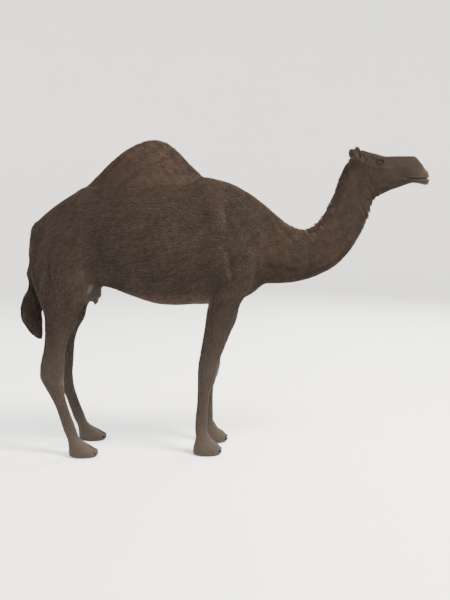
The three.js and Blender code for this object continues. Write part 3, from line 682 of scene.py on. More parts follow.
def body_axis():
    """The body's middle line: centre, upward direction, half height, half width and length passed."""
    rows = spline(BODY.values(), np.arange(0, len(BODY) - 1 + 1e-9, 1 / AXIS_STEPS))
    top, low = xyz(rows[:, 0], 0, rows[:, 1]), xyz(rows[:, 2], 0, rows[:, 3])
    centre = (top + low) / 2
    passed = np.append(0, np.cumsum(length_of(np.diff(centre, axis=0))))
    return centre, unit(top - low, 0), length_of(top - low) / 2, rows[:, 4], passed


def axis_frame(points):
    """For each point, the body's middle line at the section whose plane is nearest."""
    centre, up, half_tall, half_wide, passed = body_axis()
    best = np.empty(len(points), int)
    for some in np.array_split(np.arange(len(points)), max(len(points) // 20000, 1)):
        offset = points[some, None, :] - centre[None]
        out_of_plane = np.abs(np.sum(offset * np.cross(up, [0, 1, 0])[None], -1))
        far = length_of(offset) / np.maximum(half_tall, half_wide)
        best[some] = np.argmin(out_of_plane + TOO_FAR["cost"] * np.maximum(far - TOO_FAR["from"], 0), axis=1)
    return centre[best], up[best], half_tall[best], half_wide[best], passed[best]


def on_the_neck(points):
    """How high a neck point lies in its section, -1 at the throat to 1 at the crest, and how far on."""
    height, passed = np.zeros(len(points)), np.zeros(len(points))
    ahead = points[:, X] > 100
    centre, up, half_tall, _, passed[ahead] = axis_frame(points[ahead])
    height[ahead] = np.sum((points[ahead] - centre) * up, 1) / half_tall
    return height, passed


def finer(mesh, inside):
    """Splits once the faces whose vertices all satisfy inside."""
    chosen = inside(*points_of(mesh).T)

    def split(work):
        """Cuts each chosen edge in two and fills in the grid between the cuts."""
        edges = [e for e in work.edges if chosen[e.verts[0].index] and chosen[e.verts[1].index]]
        bmesh.ops.subdivide_edges(work, edges=edges, cuts=1, use_grid_fill=True)

    edited(mesh, split)


def softened(mesh):
    """Melts the joins where legs and udder meet the trunk, and the voxel's steps everywhere."""
    points, edges = points_of(mesh), edges_of(mesh)
    x, y, z = mirrored(points).T
    joins = zone("joins", points) * (1 - zone("udder's join", points)) * (1 - zone("tail's join", points))
    teats = (z < 1032) & (np.abs(x - UDDER["at"][X]) < 62) & (y < 62)
    points = relaxed(points, edges, np.where(teats, 0.15, 0.5), 6)
    set_points(mesh, relaxed(points, edges, 0.5 * joins, 100))


def made_up(points):
    """What is given back for the smoothing and for locks that lie lower than the coat's full depth."""
    x, _, z = points.T
    grown = (3.6 + 1.8 * ramp(980, 780, z)) * zone("above the soles", points)
    return grown * (1 - 0.75 * ramp(900, 1000, x))


def sculpted(mesh):
    """Sets the skin in by the coat's depth and pushes the forms and ridges into it."""
    points, normals = points_of(mesh), normals_of(mesh)
    height, passed = on_the_neck(points)
    depth = coat_depth(points, height)
    push = push_of(points) - depth - HAIR_THICK * np.minimum(depth, 1) + made_up(points)
    push += neck_wrinkles(points, height, passed) + rib_waves(points)
    points = feet_cut(mouth_cut(points + normals * push[:, None]))
    points = relaxed(points, edges_of(mesh), 0.4, 2)
    set_points(mesh, np.clip(points, BOX_LOW, BOX_HIGH - [1.5, 0, 0]))


def neck_wrinkles(points, height, passed):
    """Soft folds across the crest side of the neck's dip and under the jaw: waves 36 mm long."""
    dip = bell(points[:, X] - 640, 190) * ramp(0.2, 0.9, height)
    throat = bell(points[:, X] - 1000, 70) * ramp(0.1, 0.8, -height)
    wave = np.sin(2 * np.pi * passed / 36 + 0.02 * points[:, Y])
    return wave * (2.2 * dip + 1.6 * throat)


def rib_waves(points):
    """Ribs that barely show through the flank: waves 66 mm long that slope back as they go down."""
    x, _, z = points.T
    slope = x + 0.22 * z + 9 * np.sin(x / 90 + z / 140)
    return 1.8 * zone("ribs", points) * bell(z - 1400, 170) * np.sin(2 * np.pi * slope / 66)


def mouth_cut(points):
    """Draws the skin in along the line of the mouth and rounds the lips over it."""
    x, _, z = points.T
    (corner_x, corner_z), (front_x, front_z) = MOUTH["corner"], MOUTH["front"]
    share = np.clip((x - corner_x) / (front_x - corner_x), 0, 1.1)
    off = z - corner_z - (front_z - corner_z) * share + MOUTH["bow"] * np.sin(np.pi * np.clip(share, 0, 1))
    groove = MOUTH["depth"] * bell(off, MOUTH["width"]) * (0.45 + 0.9 * share)
    lips = 2.4 * bell(np.abs(off) - 11, 8)
    inward = unit(xyz(np.minimum(x, 1290), 0, z) - points)
    return points + inward * (ramp(corner_x - 6, corner_x + 14, x) * (groove - lips))[:, None]


def toes_of(leg, side):
    """The toes' front, their rear, and the line between them."""
    _, front, rear, inner, outer = LEGS[leg]["toe"]
    return front + LEGS[leg]["stride"][side], rear, SIDES[side] * (inner + outer) / 2


def feet_cut(points):
    """Parts the two toes at the front of each foot, and draws the line where the pad begins."""
    x, y, z = points.T
    moved = points.copy()
    for leg, side in ((leg, side) for leg in LEGS for side in SIDES):
        front, rear, middle = toes_of(leg, side)
        near = (np.abs(y - middle) < 120) & (x > rear - 60) & (x < front + 60) & (z < 110)
        parting = bell(y - middle, 8) * ramp(front - 95, front - 10, x) * ramp(95, 60, z) * ramp(-4, 14, z)
        moved[:, X] -= 26 * parting * near
        moved[:, Z] -= 9 * parting * near * ramp(20, 60, z)
        outward = unit((points - [(front + rear) / 2, middle, 0]) * [1, 1, 0])
        moved -= outward * (3 * bell(z - 24, 4) * near)[:, None]
    moved[:, Z] = np.maximum(moved[:, Z], 0)
    return moved


PATCH_AROUND = 72  # points round an opening's rings
CROWDED = 1.6  # the power that crowds the rings toward the rim
BLUR = 3.2  # how far round it a patch point takes the skin's height from


def opening_frame(opening, side):
    """An opening's centre and its axes: along the slit, across it, and straight out of the head."""
    sign = SIDES[side]
    a, b, c = np.radians(opening["turn"])
    out = np.array([np.sin(a) * np.cos(b), sign * np.cos(a) * np.cos(b), np.sin(b)])
    along = np.array([np.cos(c), 0, np.sin(c)])
    along = unit(along - out * (along @ out), 0)
    across = np.cross(out, along) * sign
    axes = np.stack([along, across * np.sign(across[Z]), out])
    return np.array(opening["at"], float) * [1, sign, 1], axes


def local_height(u, v, patch_u, patch_v, w):
    """Height of the skin round each patch point: the mean of nearby heights by a bell-shaped weight."""
    square = (patch_u.ravel()[:, None] - u) ** 2 + (patch_v.ravel()[:, None] - v) ** 2
    weight = np.exp(-square / BLUR**2) + 1e-9
    return ((weight @ w) / weight.sum(1)).reshape(patch_u.shape)


def opening_in(mesh, opening, side, rim, rings, profile, tube_depth):
    """Cuts a round hole in the skin and fills it with rings that lead to an opening of a given rim.

    rim(angle) gives the opening's outline, the rings run from it out to the hole's circle, and
    profile(u, v, from_rim, natural) gives the height of each ring point above the centre. A short tube,
    narrower as it deepens, leads inward from the rim.
    """
    centre, axes = opening_frame(opening, side)
    radius = opening["hole"]
    u, v, w = axes @ (points_of(mesh) - centre).T
    near = (np.hypot(u, v) < radius * 1.7) & (np.abs(w) < 60) & (w > -25)
    gone = np.flatnonzero((np.hypot(u, v) < radius + 1.5) & (w > -12))
    angle = 2 * np.pi * np.arange(PATCH_AROUND) / PATCH_AROUND
    edge = np.stack(rim(angle))[:, None]
    share = np.linspace(0, 1, rings)[:, None] ** CROWDED
    ring = edge + share * (radius * np.stack([np.cos(angle), np.sin(angle)])[:, None] - edge)
    natural = local_height(u[near], v[near], *ring, w[near])
    height = profile(*ring, np.hypot(*(ring - edge)), natural)
    deep = np.linspace(1, 0, 5)[:-1, None]
    tube = edge * (1 - 0.12 * deep)
    tube_height = height[:1] - tube_depth(*tube, height[:1], deep)
    grid = np.concatenate([xyz(*tube, tube_height), xyz(*ring, height)])
    points, faces = shell(centre + grid @ axes)
    end = len(points) - 1

    def fill(work):
        """Deletes the hole's points, brings in the patch and joins the two rims."""
        bmesh.ops.delete(work, geom=[work.verts[i] for i in gone], context="VERTS")
        patch = bpy.data.meshes.new("patch")
        patch.from_pydata(points[:end] * MM, [], [face for face in faces if end not in face])
        work.from_mesh(patch)
        bpy.data.meshes.remove(patch)
        bmesh.ops.bridge_loops(work, edges=[e for e in work.edges if e.is_boundary])
        bmesh.ops.recalc_face_normals(work, faces=work.faces)

    edited(mesh, fill)


def ball_height(u, v, radius):
    """How far a ball of a radius stands out at u, v: the root of radius squared less u and v squared."""
    return np.sqrt(np.maximum(radius**2 - u**2 - v**2, 1))


def eye_rim(angle):
    """The outline of the opened lids: an oval drawn out to two corners."""
    high = np.where(np.sin(angle) > 0, EYE["upper"], EYE["lower"])
    return EYE["length"] * np.cos(angle), high * np.sign(np.sin(angle)) * np.abs(np.sin(angle)) ** 1.15


def eyelids(mesh, side):
    """Lids that lie on the eyeball as a thin shell, with a margin, a crease and folds round them."""

    def profile(u, v, from_rim, natural):
        """The larger of a shell over the eyeball and the skin, blended, with crease and folds as bells."""
        lid = ball_height(u, v, EYE["radius"] + 2.7) - 60 * np.maximum((u**2 + v**2) / 560 - 1, 0)
        lid = 0.5 * (lid + natural + np.hypot(lid - natural, 2.2))
        upper = ramp(-2, 5, v)
        crease = (1.1 * bell(from_rim - 11.5, 2) - 2 * bell(from_rim - 7.5, 1.5)) * upper
        folds = 0.5 * np.cos(from_rim * 1.9) * bell(from_rim - 12, 5) - 1.2 * bell(from_rim - 6.5, 1.4)
        edge = ramp(0, 2.2, from_rim)
        margin = (ball_height(u, v, EYE["radius"]) + 0.7) * (1 - edge) + lid * edge
        fade = ramp(31.5, 29, np.hypot(u, v))
        return margin * fade + natural * (1 - fade) + (crease + folds * (1 - upper)) * edge * fade

    def tube_depth(u, v, top, deep):
        """Down to the eyeball and a little into it, so that no gap shows."""
        return top - ball_height(u, v, EYE["radius"]) + 0.4 + 3.5 * deep

    opening_in(mesh, EYE, side, eye_rim, 20, profile, tube_depth)


def nostril(mesh, side):
    """A slit with a rounded rim, a lip of skin over its upper edge, and a dark passage behind."""
    hole = NOSTRIL["hole"]

    def rim(angle):
        """A flat oval bent like a comma."""
        bend = 2.2 * np.cos(2 * angle)
        return NOSTRIL["length"] * np.cos(angle), NOSTRIL["height"] * np.sin(angle) - bend

    def profile(u, v, from_rim, natural):
        """The skin with a bell of a lip round the rim, and a dip at its edge."""
        lip = 3.4 * bell(from_rim - 4, 3.4) * (0.7 + 0.5 * ramp(-3, 4, v))
        return natural + lip * ramp(hole - 0.5, hole - 8, np.hypot(u, v)) - 3 * bell(from_rim, 1.6)

    def tube_depth(u, v, top, deep):
        """Evenly in, 14 mm at the deepest."""
        return 14 * deep + 0 * top

    opening_in(mesh, NOSTRIL, side, rim, 16, profile, tube_depth)


def thinned(piece):
    """Brings the skin under its count of triangles, leaving the face as fine as it is."""
    points = points_of(piece.data)
    eyes = length_of(mirrored(points) - EYE["at"]) < 62
    muzzle = (points[:, X] > 1280) & (points[:, Z] > 1700)
    weights = np.where(eyes | muzzle, 0, 1 - 0.7 * np.round(zone("fine head", points), 1))
    group = piece.vertex_groups.new(name="thin")
    for weight in np.unique(weights[weights > 0]):
        group.add(np.flatnonzero(weights == weight).tolist(), float(weight), "REPLACE")
    thin = piece.modifiers.new("thin", "DECIMATE")
    thin.ratio = SKIN_TRIANGLES / len(triangles_of(piece.data))
    thin.vertex_group = group.name
    thin.use_collapse_triangulate = True
    apply_modifiers(piece)


def make_skin():
    """The whole animal's skin, from fused shells to folds and lids."""
    piece = fused_flesh()
    mesh = piece.data
    softened(mesh)
    finer(mesh, lambda x, y, z: (x > 850) & (z > 1640) | (z < 110))  # head and feet
    finer(mesh, lambda x, y, z: (x > 1170) & (np.abs(z - 1848) < 16) | (x > 1325))  # the lips again
    points = points_of(mesh)
    fine = (points[:, X] > 840) & (points[:, Z] > 1630) | (points[:, Z] < 120)
    set_points(mesh, relaxed(points, edges_of(mesh), 0.5 * fine, 4))
    sculpted(mesh)
    thinned(piece)
    for side in SIDES:
        eyelids(piece.data, side)
        nostril(piece.data, side)
    piece.data.shade_smooth()
    return piece


# ------------------------------------------------------------------ the lie of the coat


def wave_noise(points, size, seed):
    """Smooth noise from -1 to 1: a sum of sine waves that run in random directions, about one size long."""
    draw = np.random.default_rng(seed)
    waves = draw.normal(size=(3, 9))
    waves *= 2 * np.pi / size / np.linalg.norm(waves, axis=0) * draw.uniform(0.6, 1.5, 9)
    return np.sin(points @ waves + draw.uniform(0, 2 * np.pi, 9)).sum(1) / 4.5


def flattened(directions, normals):
    """Directions laid in the surface and made one long."""
    return unit(directions - normals * np.sum(directions * normals, 1)[:, None])


def hair_lie(points, normals, edges):
    """Which way the hair lies: back along head, neck and trunk, down rump, legs and tail, out on ears.

    Each zone's own direction replaces or adds to the one along the body, and all are smoothed together.
    """
    _, up, _, _, _ = axis_frame(points)
    y = points[:, Y]
    back = np.cross(up, [0, -1, 0])
    back *= -np.sign(back[:, :1])
    used = ("trunk", "rump", "fore lie", "hind lie", "tail's lie", "hump's sides")
    part = {name: zone(name, points)[:, None] for name in used}
    lie = back + part["trunk"] * [0, 0, -0.28] + part["rump"] * [0.45, 0, -1.3]
    up_ear = xyz(-0.34, 0.45 * np.sign(y), 0.82)
    for share, own in (
        (np.maximum(part["fore lie"], part["hind lie"]), [-0.12, 0, -1]),
        (part["tail's lie"], [-0.05, 0, -1]),
        (on_ears(points)[:, None], up_ear),
    ):
        lie = lie * (1 - share) + share * own
    outward = (np.sign(y) * ramp(0, 60, np.abs(y)))[:, None] * [0, 1, 0]
    lie = lie + part["hump's sides"] * (0.5 * outward + [0, 0, -0.25])
    return flattened(relaxed(flattened(lie, normals), edges, 0.5, 14), normals)


def bend_along(points, normals, lie, edges):
    """How sharply the skin curves away along the lie: the turn of the normal for each length passed."""
    a, b = np.concatenate([edges, edges[:, ::-1]]).T
    step = np.sum((points[b] - points[a]) * lie[a], 1)
    turn = np.sum((normals[b] - normals[a]) * lie[a], 1)
    bend = np.bincount(a, turn * step, len(points)) / (np.bincount(a, step * step, len(points)) + 1e-6)
    return np.clip(relaxed(bend[:, None], edges, 0.5, 10)[:, 0], -0.006, 0.012)


def skin_field(skin):
    """Everything that the coat needs to know at each point of the skin."""
    mesh = skin.data
    points, normals, edges = points_of(mesh), normals_of(mesh), edges_of(mesh)
    lie = hair_lie(points, normals, edges)
    bare = bareness(points)
    bend = bend_along(points, normals, lie, edges)
    values = np.column_stack([points, normals, lie, coat_depth(points, on_the_neck(points)[0]), bend, bare])
    write(mesh.attributes.new("lie", "FLOAT_VECTOR", "POINT").data, "vector", lie)
    write(mesh.attributes.new("bare", "FLOAT", "POINT").data, "value", bare)
    triangles = triangles_of(mesh)
    a, b, c = (points[triangles[:, k]] for k in range(3))
    area = length_of(np.cross(b - a, c - a)) / 2
    return {"values": values, "triangles": triangles, "area": area, "middle": (a + b + c) / 3}


# Bare places on both sides: callus on elbows, knees, stifles and hocks, lids and nostrils. Place, reach,
# and where the bareness sets in and is full, in reaches.
BARE = {
    "elbow": ((-104, 190, 1030), (26, 60, 44), 1.05, 0.75),
    "knee": ((-34, 152, 556), (30, 44, 62), 1.05, 0.75),
    "stifle": ((-862, 200, 1120), (28, 60, 48), 1.05, 0.75),
    "hock": ((-1080, 172, 505), (20, 40, 40), 1.05, 0.75),
    "lids": ((1026, 99, 1950), (21.5, 24, 13), 1.05, 0.95),
    "nostril": ((1311, 47, 1931), (13, 14, 15), 1.1, 0.9),
}


def bareness(points):
    """1 where there is no coat: callus, soles, lids, nostrils, lips' edge and teats."""
    left = mirrored(points)
    bare = ramp(24, 17, points[:, Z] + 3 * wave_noise(points, 40, 51))
    ragged = 0.16 * wave_noise(points, 34, 52) + 0.1 * wave_noise(points, 12, 53)
    for name, (at, reach, start, full) in BARE.items():
        far = length_of((left - at) / reach) + ragged * (name not in ("lids", "nostril"))
        bare = np.maximum(bare, ramp(start, full, far))
    x, y, z = left.T
    teat = (z < 1017) & (np.abs(x - UDDER["at"][X]) < 60) & (y < 60)
    slit = ramp(5.5, 3.5, np.abs(z - 1848)) * zone("lip slit", points)
    ends = ramp(12, 9, np.abs(z - 1847)) * zone("lip ends", points)
    return np.maximum.reduce([bare, teat, slit, ends])


# ------------------------------------------------------------------ locks of hair

LOCK_SINK = 1.2  # how deep a lock's root sits in the skin
PATCH = 0.003  # each lock's patch on its piece's bake map
TRIES = 3.2  # random places drawn for each root
CROWD = 1.45  # a cube's face over a root's even share of the area, because each cube cuts a slanted patch
BARE_FROM = 0.35  # no roots where the skin is barer than this
CORNERS = ((-0.5, 0.0), (0.5, 0.0), (0.0, 0.42))  # a lock's section, across and up, in widths


def roots_on(field, chosen, count, seed):
    """About count roots spread evenly over the chosen triangles: one random place in each small cube."""
    draw = np.random.default_rng(seed)
    area = field["area"] * chosen
    cube = math.sqrt(CROWD * area.sum() / count)
    pick = np.searchsorted(np.cumsum(area) / area.sum(), np.sort(draw.random(int(count * TRIES))))
    share = np.sqrt(draw.random((len(pick), 1)))
    slide = draw.random((len(pick), 1))
    weight = np.hstack([1 - share, share * (1 - slide), share * slide])
    corners = field["values"][field["triangles"][np.minimum(pick, len(area) - 1)]]
    rows = np.einsum("nk,nkv->nv", weight, corners)
    rows = rows[draw.permutation(len(rows))]
    rows = rows[rows[:, -1] < BARE_FROM]
    cell = np.floor(rows[:, :3] / cube).astype(np.int64) @ [1, 4001, 16008001]
    _, first = np.unique(cell, return_index=True)
    return rows[np.sort(first)][:count]


def chart_of(roots, as_legs):
    """Each root's place on an unwrap of the skin: along the limb, and round it times its girth."""
    x, y, z = roots.T
    if as_legs:
        fore = x > -500
        middles = []
        for leg in LEGS.values():
            rows = np.array(list(leg["table"].values()), float)[::-1]
            middles.append(np.interp(z, rows[:, 0], (rows[:, 1] + rows[:, 2]) / 2))
        angle = np.arctan2(np.abs(y) - 165, x - np.where(fore, *middles))
        return xyz(z, 70 * angle + 520 * (2 * fore + (y > 0)))
    centre, up, half_tall, half_wide, passed = axis_frame(roots)
    angle = np.arctan2(y, np.sum((roots - centre) * up, 1))
    return xyz(passed, angle * (half_tall + half_wide) / 2)


def lock_faces(steps):
    """Corners of one lock: quads between its three-cornered rings, its root's face and its tip's faces."""
    last, tip = 3 * (steps - 1), 3 * steps
    turns = [(k, (k + 1) % 3) for k in range(3)]
    quads = [(r + k, r + n, r + 3 + n, r + 3 + k) for r in range(0, last, 3) for k, n in turns]
    return np.array(quads), np.array([(0, 2, 1)] + [(last + k, last + n, tip) for k, n in turns])


def lock_mesh(name, rings, tips, along, tone, chart):
    """A coat piece from its locks' rings and tips, with its attributes and bake map.

    rings is locks x rings x 3 corners x xyz, and tips is locks x xyz.
    """
    count, steps = rings.shape[:2]
    points = np.concatenate([rings.reshape(count, -1, 3), tips[:, None]], 1)
    points = np.clip(points, BOX_LOW, BOX_HIGH)
    per = points.shape[1]
    kinds = lock_faces(steps)
    start = np.arange(count)[:, None, None] * per
    corners = np.concatenate([(start + kind).ravel() for kind in kinds])
    sizes = np.concatenate([np.full(count * len(kind), kind.shape[1]) for kind in kinds])
    mesh = bpy.data.meshes.new(name)
    mesh.vertices.add(count * per)
    mesh.loops.add(len(corners))
    mesh.polygons.add(len(sizes))
    write(mesh.vertices, "co", points * MM)
    write(mesh.loops, "vertex_index", corners, np.int32)
    write(mesh.polygons, "loop_start", np.cumsum(sizes) - sizes, np.int32)
    mesh.update(calc_edges=True)
    for label, numbers in (("along", np.tile(along, count)), ("tone", np.repeat(tone, per))):
        write(mesh.attributes.new(label, "FLOAT", "POINT").data, "value", numbers)
    low, high = chart.min(0), chart.max(0)
    place = 0.01 + 0.975 * (chart - low) / (high - low).max()
    patch = PATCH * xyz(np.append(np.tile([0, 1, 0.5], steps), 0.5), along)
    spots = (place[:, None] + patch[None]).reshape(-1, 2)
    write(mesh.uv_layers.new(name="OFBake").data, "uv", spots[corners])
    mesh.shade_smooth()
    return placed(name, mesh)


def make_coat(name, rows, shape, chart, seed):
    """One coat piece: locks that leave the skin, bow over and lie along it, swaying into clumps.

    A lock's middle line is root + lie x length x s, raised by lift x (1 - (1 - s) squared), lowered as the
    skin curves away, and swung sideways as s squared.
    """
    draw = np.random.default_rng(seed)
    count = len(rows)
    root, normal, lie, depth, bend = np.split(rows[:, :11], [3, 6, 9, 10], 1)
    normal = unit(normal)
    lie = flattened(lie, normal)
    turn = (0.16 * wave_noise(root, 190, seed + 1) + shape["stray"] * draw.normal(size=count))[:, None]
    lie = lie * np.cos(turn) + np.cross(normal, lie) * np.sin(turn)
    across = np.cross(normal, lie)
    length = (shape["long"] * depth + 2) * draw.uniform(0.75, 1.15, (count, 1))
    width = shape["wide"] * np.sqrt(length) * draw.uniform(0.8, 1.25, (count, 1))
    lift = shape["lift"] * depth * draw.uniform(0.6, 1.05, (count, 1))
    clump = wave_noise(root, shape["clump_size"], seed + 2)
    sway = length * shape["clump"] * clump[:, None]
    at = np.array(shape["rings"])
    grow = np.interp(at, [0, 0.3, 0.65, 1], [0.55, 1, 0.8, 0])

    def middle(s):
        """The locks' middle lines at a share s of their length."""
        rise = lift * (1 - (1 - s) ** 2) - LOCK_SINK * (1 - s) - bend * (length * s) ** 2 / 2
        wave = shape["curl"] * length * math.sin(2.6 * math.pi * s) * s
        return root + lie * length * s + normal * rise + across * (sway * s * s + wave)

    rings = [
        np.stack([middle(s) + width * g * (a * across + b * normal) for a, b in CORNERS], 1)
        for s, g in zip(at, grow)
    ]
    tone = np.clip(0.5 + 0.7 * clump + draw.uniform(-0.25, 0.25, count), 0, 1)
    along = np.append(np.repeat(at, 3), 1)
    return lock_mesh(name, np.stack(rings, 1), middle(1.0), along, tone, chart)


# Coat pieces: how many roots, in how many pieces, and the shape of their locks. long and lift are times
# the coat's depth, wide times the root of the length; stray, clump and curl say how untidy the locks are,
# clump_size is in millimetres, and rings are where along a lock its sections lie.
SHAPE = ("count", "parts", "long", "lift", "wide", "stray", "clump", "clump_size", "curl", "rings")
COATS = {
    "hump": (14600, 1, 3.4, 0.9, 0.66, 0.11, 0.24, 62, 0.05, (0, 0.3, 0.68)),
    "trunk": (57000, 3, 3.9, 0.85, 0.86, 0.09, 0.09, 48, 0, (0, 0.42)),
    "neck": (25000, 2, 3.5, 0.85, 0.68, 0.1, 0.2, 52, 0.03, (0, 0.3, 0.68)),
    "head": (24000, 1, 3.0, 0.9, 0.7, 0.08, 0.06, 22, 0, (0, 0.42)),
    "legs": (38000, 2, 3.6, 0.8, 0.7, 0.08, 0.08, 26, 0, (0, 0.42)),
}


def coat_regions(middle):
    """Which skin triangles each coat piece grows on."""
    x, y, z = middle.T
    head = (x > 905) & (z > 1720) | (on_ears(middle) > 0.1) | (x > 1040)
    legs = (z < 985) & (np.abs(x) < 1235) | (z < 860)
    brush = (x < -1240) & (z < 1150) & (np.abs(y) < 70)
    hump = (z > 1800) & (x > -960) & (x < -130)
    neck = (x > 250) & ~head
    trunk = ~(head | legs | brush | hump | neck)
    return {"hump": hump, "neck": neck, "head": head, "legs": legs & ~brush, "trunk": trunk}


def make_coats(field, hair):
    """Every coat piece, each region's locks split into its number of parts, riding on the body."""
    for seed, (region, chosen) in enumerate(coat_regions(field["middle"]).items(), 11):
        shape = dict(zip(SHAPE, COATS[region]))
        rows = roots_on(field, chosen, shape["count"], seed)
        rows = rows[np.argsort(rows[:, X])]
        for number, some in enumerate(np.array_split(rows, shape["parts"]), 1):
            chart = chart_of(some[:, :3], region == "legs")
            piece = make_coat(f"coat_{region}_{number}", some, shape, chart, 100 * seed + number)
            finish(piece, hair, "hump" if region == "hump" else "coat")


def finish(piece, material, slot, *nodes):
    """Gives a piece its material, lets it ride on the body, and hides the model's parts that it stands for.
    """
    piece.data.materials.clear()
    piece.data.materials.append(material)
    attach(piece, "root")
    if nodes:
        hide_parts(*nodes)


# ------------------------------------------------------------------ tail brush, lashes and whiskers

BRUSH = {"locks": 2300, "rings": 7}
LASH_WIDTHS = np.array([0.9, 0.8, 0.65, 0.4, 0.1])  # a lash's widths from its root to its tip
WHISKER_WIDTHS = np.array([0.75, 0.65, 0.5, 0.35, 0.1])


def strand_mesh(name, lines, widths, chart, seed):
    """Long strands: a three-cornered section carried along each line of points, closed at both ends."""
    steps = lines.shape[1] - 1
    ahead = unit(np.gradient(lines, axis=1))
    draw = np.random.default_rng(seed)
    spin = draw.uniform(0, 2 * np.pi, (len(lines), 1, 1))
    across = unit(np.cross(ahead, [0.31, 0.17, 0.21]), 0)
    over = np.cross(across, ahead)
    turn = (spin + np.array([0, 2, 4]) * np.pi / 3)[..., None]
    offset = across[:, :steps, None] * np.cos(turn) - over[:, :steps, None] * np.sin(turn)
    rings = lines[:, :steps, None] + offset * (widths[:, :steps, None, None] / 2)
    along = np.append(np.repeat(np.linspace(0, 1, steps + 1)[:-1], 3), 1)
    return lock_mesh(name, rings, lines[:, -1], along, draw.random(len(lines)), chart)


def make_brush():
    """The tail's brush: strands that leave the bone, swell to the brush's outline and meet at its tip."""
    draw = np.random.default_rng(71)
    count, steps = BRUSH["locks"], BRUSH["rings"]
    start = list(TAIL).index("tail knot") - 0.3 + 4.0 * draw.random((count, 1)) ** 1.3
    end = np.minimum(start + 3.2 + 3.4 * draw.random((count, 1)), len(TAIL) - 1)
    share = np.linspace(0, 1, steps + 1)
    place = start + (end - start) * share
    x, z, deep, half = (v.reshape(place.shape) for v in spline(TAIL.values(), place.ravel()).T)
    angle = draw.uniform(0, 2 * np.pi, (count, 1)) + 0.5 * draw.normal(size=(count, 1)) * share
    full = draw.uniform(0.35, 1, (count, 1)) ** 0.45
    bone = 14 / np.maximum(deep, 15)
    out = bone + (0.97 * full - bone) * np.sin(0.5 * np.pi * np.clip(share * 1.7, 0, 1))
    out *= 1 - 0.2 * share**3 + 0.07 * np.sin(5 * angle + 2.4 * place)
    wave = 4 * share * np.sin(2 * np.pi * (place / 2.2 + draw.random((count, 1))))
    x = x + out * deep * np.cos(angle) + wave
    y = out * half * np.sin(angle) + 0.6 * wave
    widths = draw.uniform(3, 6, (count, 1)) * np.interp(share, [0, 0.4, 0.8, 1], [0.7, 1, 0.7, 0.1])
    chart = xyz(z[:, 0], 60 * (angle[:, 0] % (2 * np.pi)))
    return strand_mesh("coat_tail_brush", xyz(x, y, z), widths, chart, 72)


# Rows of lashes: how many, from and to which angle round the lids, how long, and how far off the rim.
LASH_ROWS = ((70, 12, 168, 25, 3.2), (60, 20, 160, 20, 2.4), (46, 200, 340, 11, 2.6))


def make_lashes():
    """Long lashes in two rows on the upper lid and a short row below, bowed out and down."""
    draw = np.random.default_rng(83)
    s = np.linspace(0, 1, 5)[None, :, None]
    lines = []
    for side, (count, low, high, long, out) in ((side, row) for side in SIDES for row in LASH_ROWS):
        centre, axes = opening_frame(EYE, side)
        u, v = eye_rim(np.radians(np.linspace(low, high, count) + draw.normal(size=count)))
        u, v = u * (1 + out / 22), v + out * np.sign(v) * 0.5
        root = xyz(u, v, ball_height(u, v, EYE["radius"] + 1.6))[:, None]
        length = long * draw.uniform(0.75, 1.1, count)[:, None, None]
        fan = unit(xyz(0.5 * u / 17, np.where(v > 0, 0.42, -0.5), 1), 0)[:, None]
        bow = xyz(0.08 * u / 17, np.where(v > 0, -0.28, -0.1), -0.2)[:, None]
        lines.append(centre + (root + length * (fan * s + bow * s**2)) @ axes)
    lines = np.concatenate(lines)
    chart = lines[:, 0, [X, Z]] + [0, 1] * (lines[:, 0, Y:Z] > 0) * 80
    return strand_mesh("lashes", lines, np.tile(LASH_WIDTHS, (len(lines), 1)), chart, 84)


def make_whiskers(field):
    """Sparse stiff hairs on lips, chin and nose, bowed down by their weight."""
    x, _, z = field["middle"].T
    rows = roots_on(field, (x > 1225) & (z < 1900) & (z > 1780), 150, 91)
    draw = np.random.default_rng(92)
    length = draw.uniform(12, 34, (len(rows), 1, 1))
    s = np.linspace(0, 1, 5)[None, :, None]
    root, normal, lie = np.split(rows[:, None, :9], 3, 2)
    fan = 0.12 * draw.normal(size=(len(rows), 1, 3))
    lines = root + length * (normal * s + (0.25 * lie + fan) * s + [0, 0, -0.3] * s**2)
    lines = lines[lines[..., X].max(1) < BOX_HIGH[X] - 1]
    widths = np.tile(WHISKER_WIDTHS, (len(lines), 1))
    return strand_mesh("whiskers", lines, widths, lines[:, 0, [X, Z]], 93)


# ------------------------------------------------------------------ eyes, nails and the chest callus


def make_eye(side):
    """An eyeball with its clear front bulged: a sphere's rings, the middle ones raised."""
    centre, axes = opening_frame(EYE, side)
    polar = np.concatenate([np.linspace(0.02, 0.85, 22), np.linspace(0.95, np.pi - 0.05, 16)])[:, None]
    across, up = ring_angles(56)
    directions = xyz(np.sin(polar) * across, np.sin(polar) * up, np.cos(polar))
    bulge = 1.7 * ramp(0.72, 0.35, polar)[..., None]
    piece = solid(f"eyeball_{side}", centre + (EYE["radius"] + bulge) * directions @ axes)
    local = (points_of(piece.data) - centre) @ axes.T
    spot = np.where(local[:, 2:] < 0, 0, 0.5 + local[:, :2] / (2 * EYE["radius"]))
    loops = read(piece.data.loops, "vertex_index", 1, np.int32)[:, 0]
    write(piece.data.uv_layers.new(name="iris").data, "uv", spot[loops])
    return piece


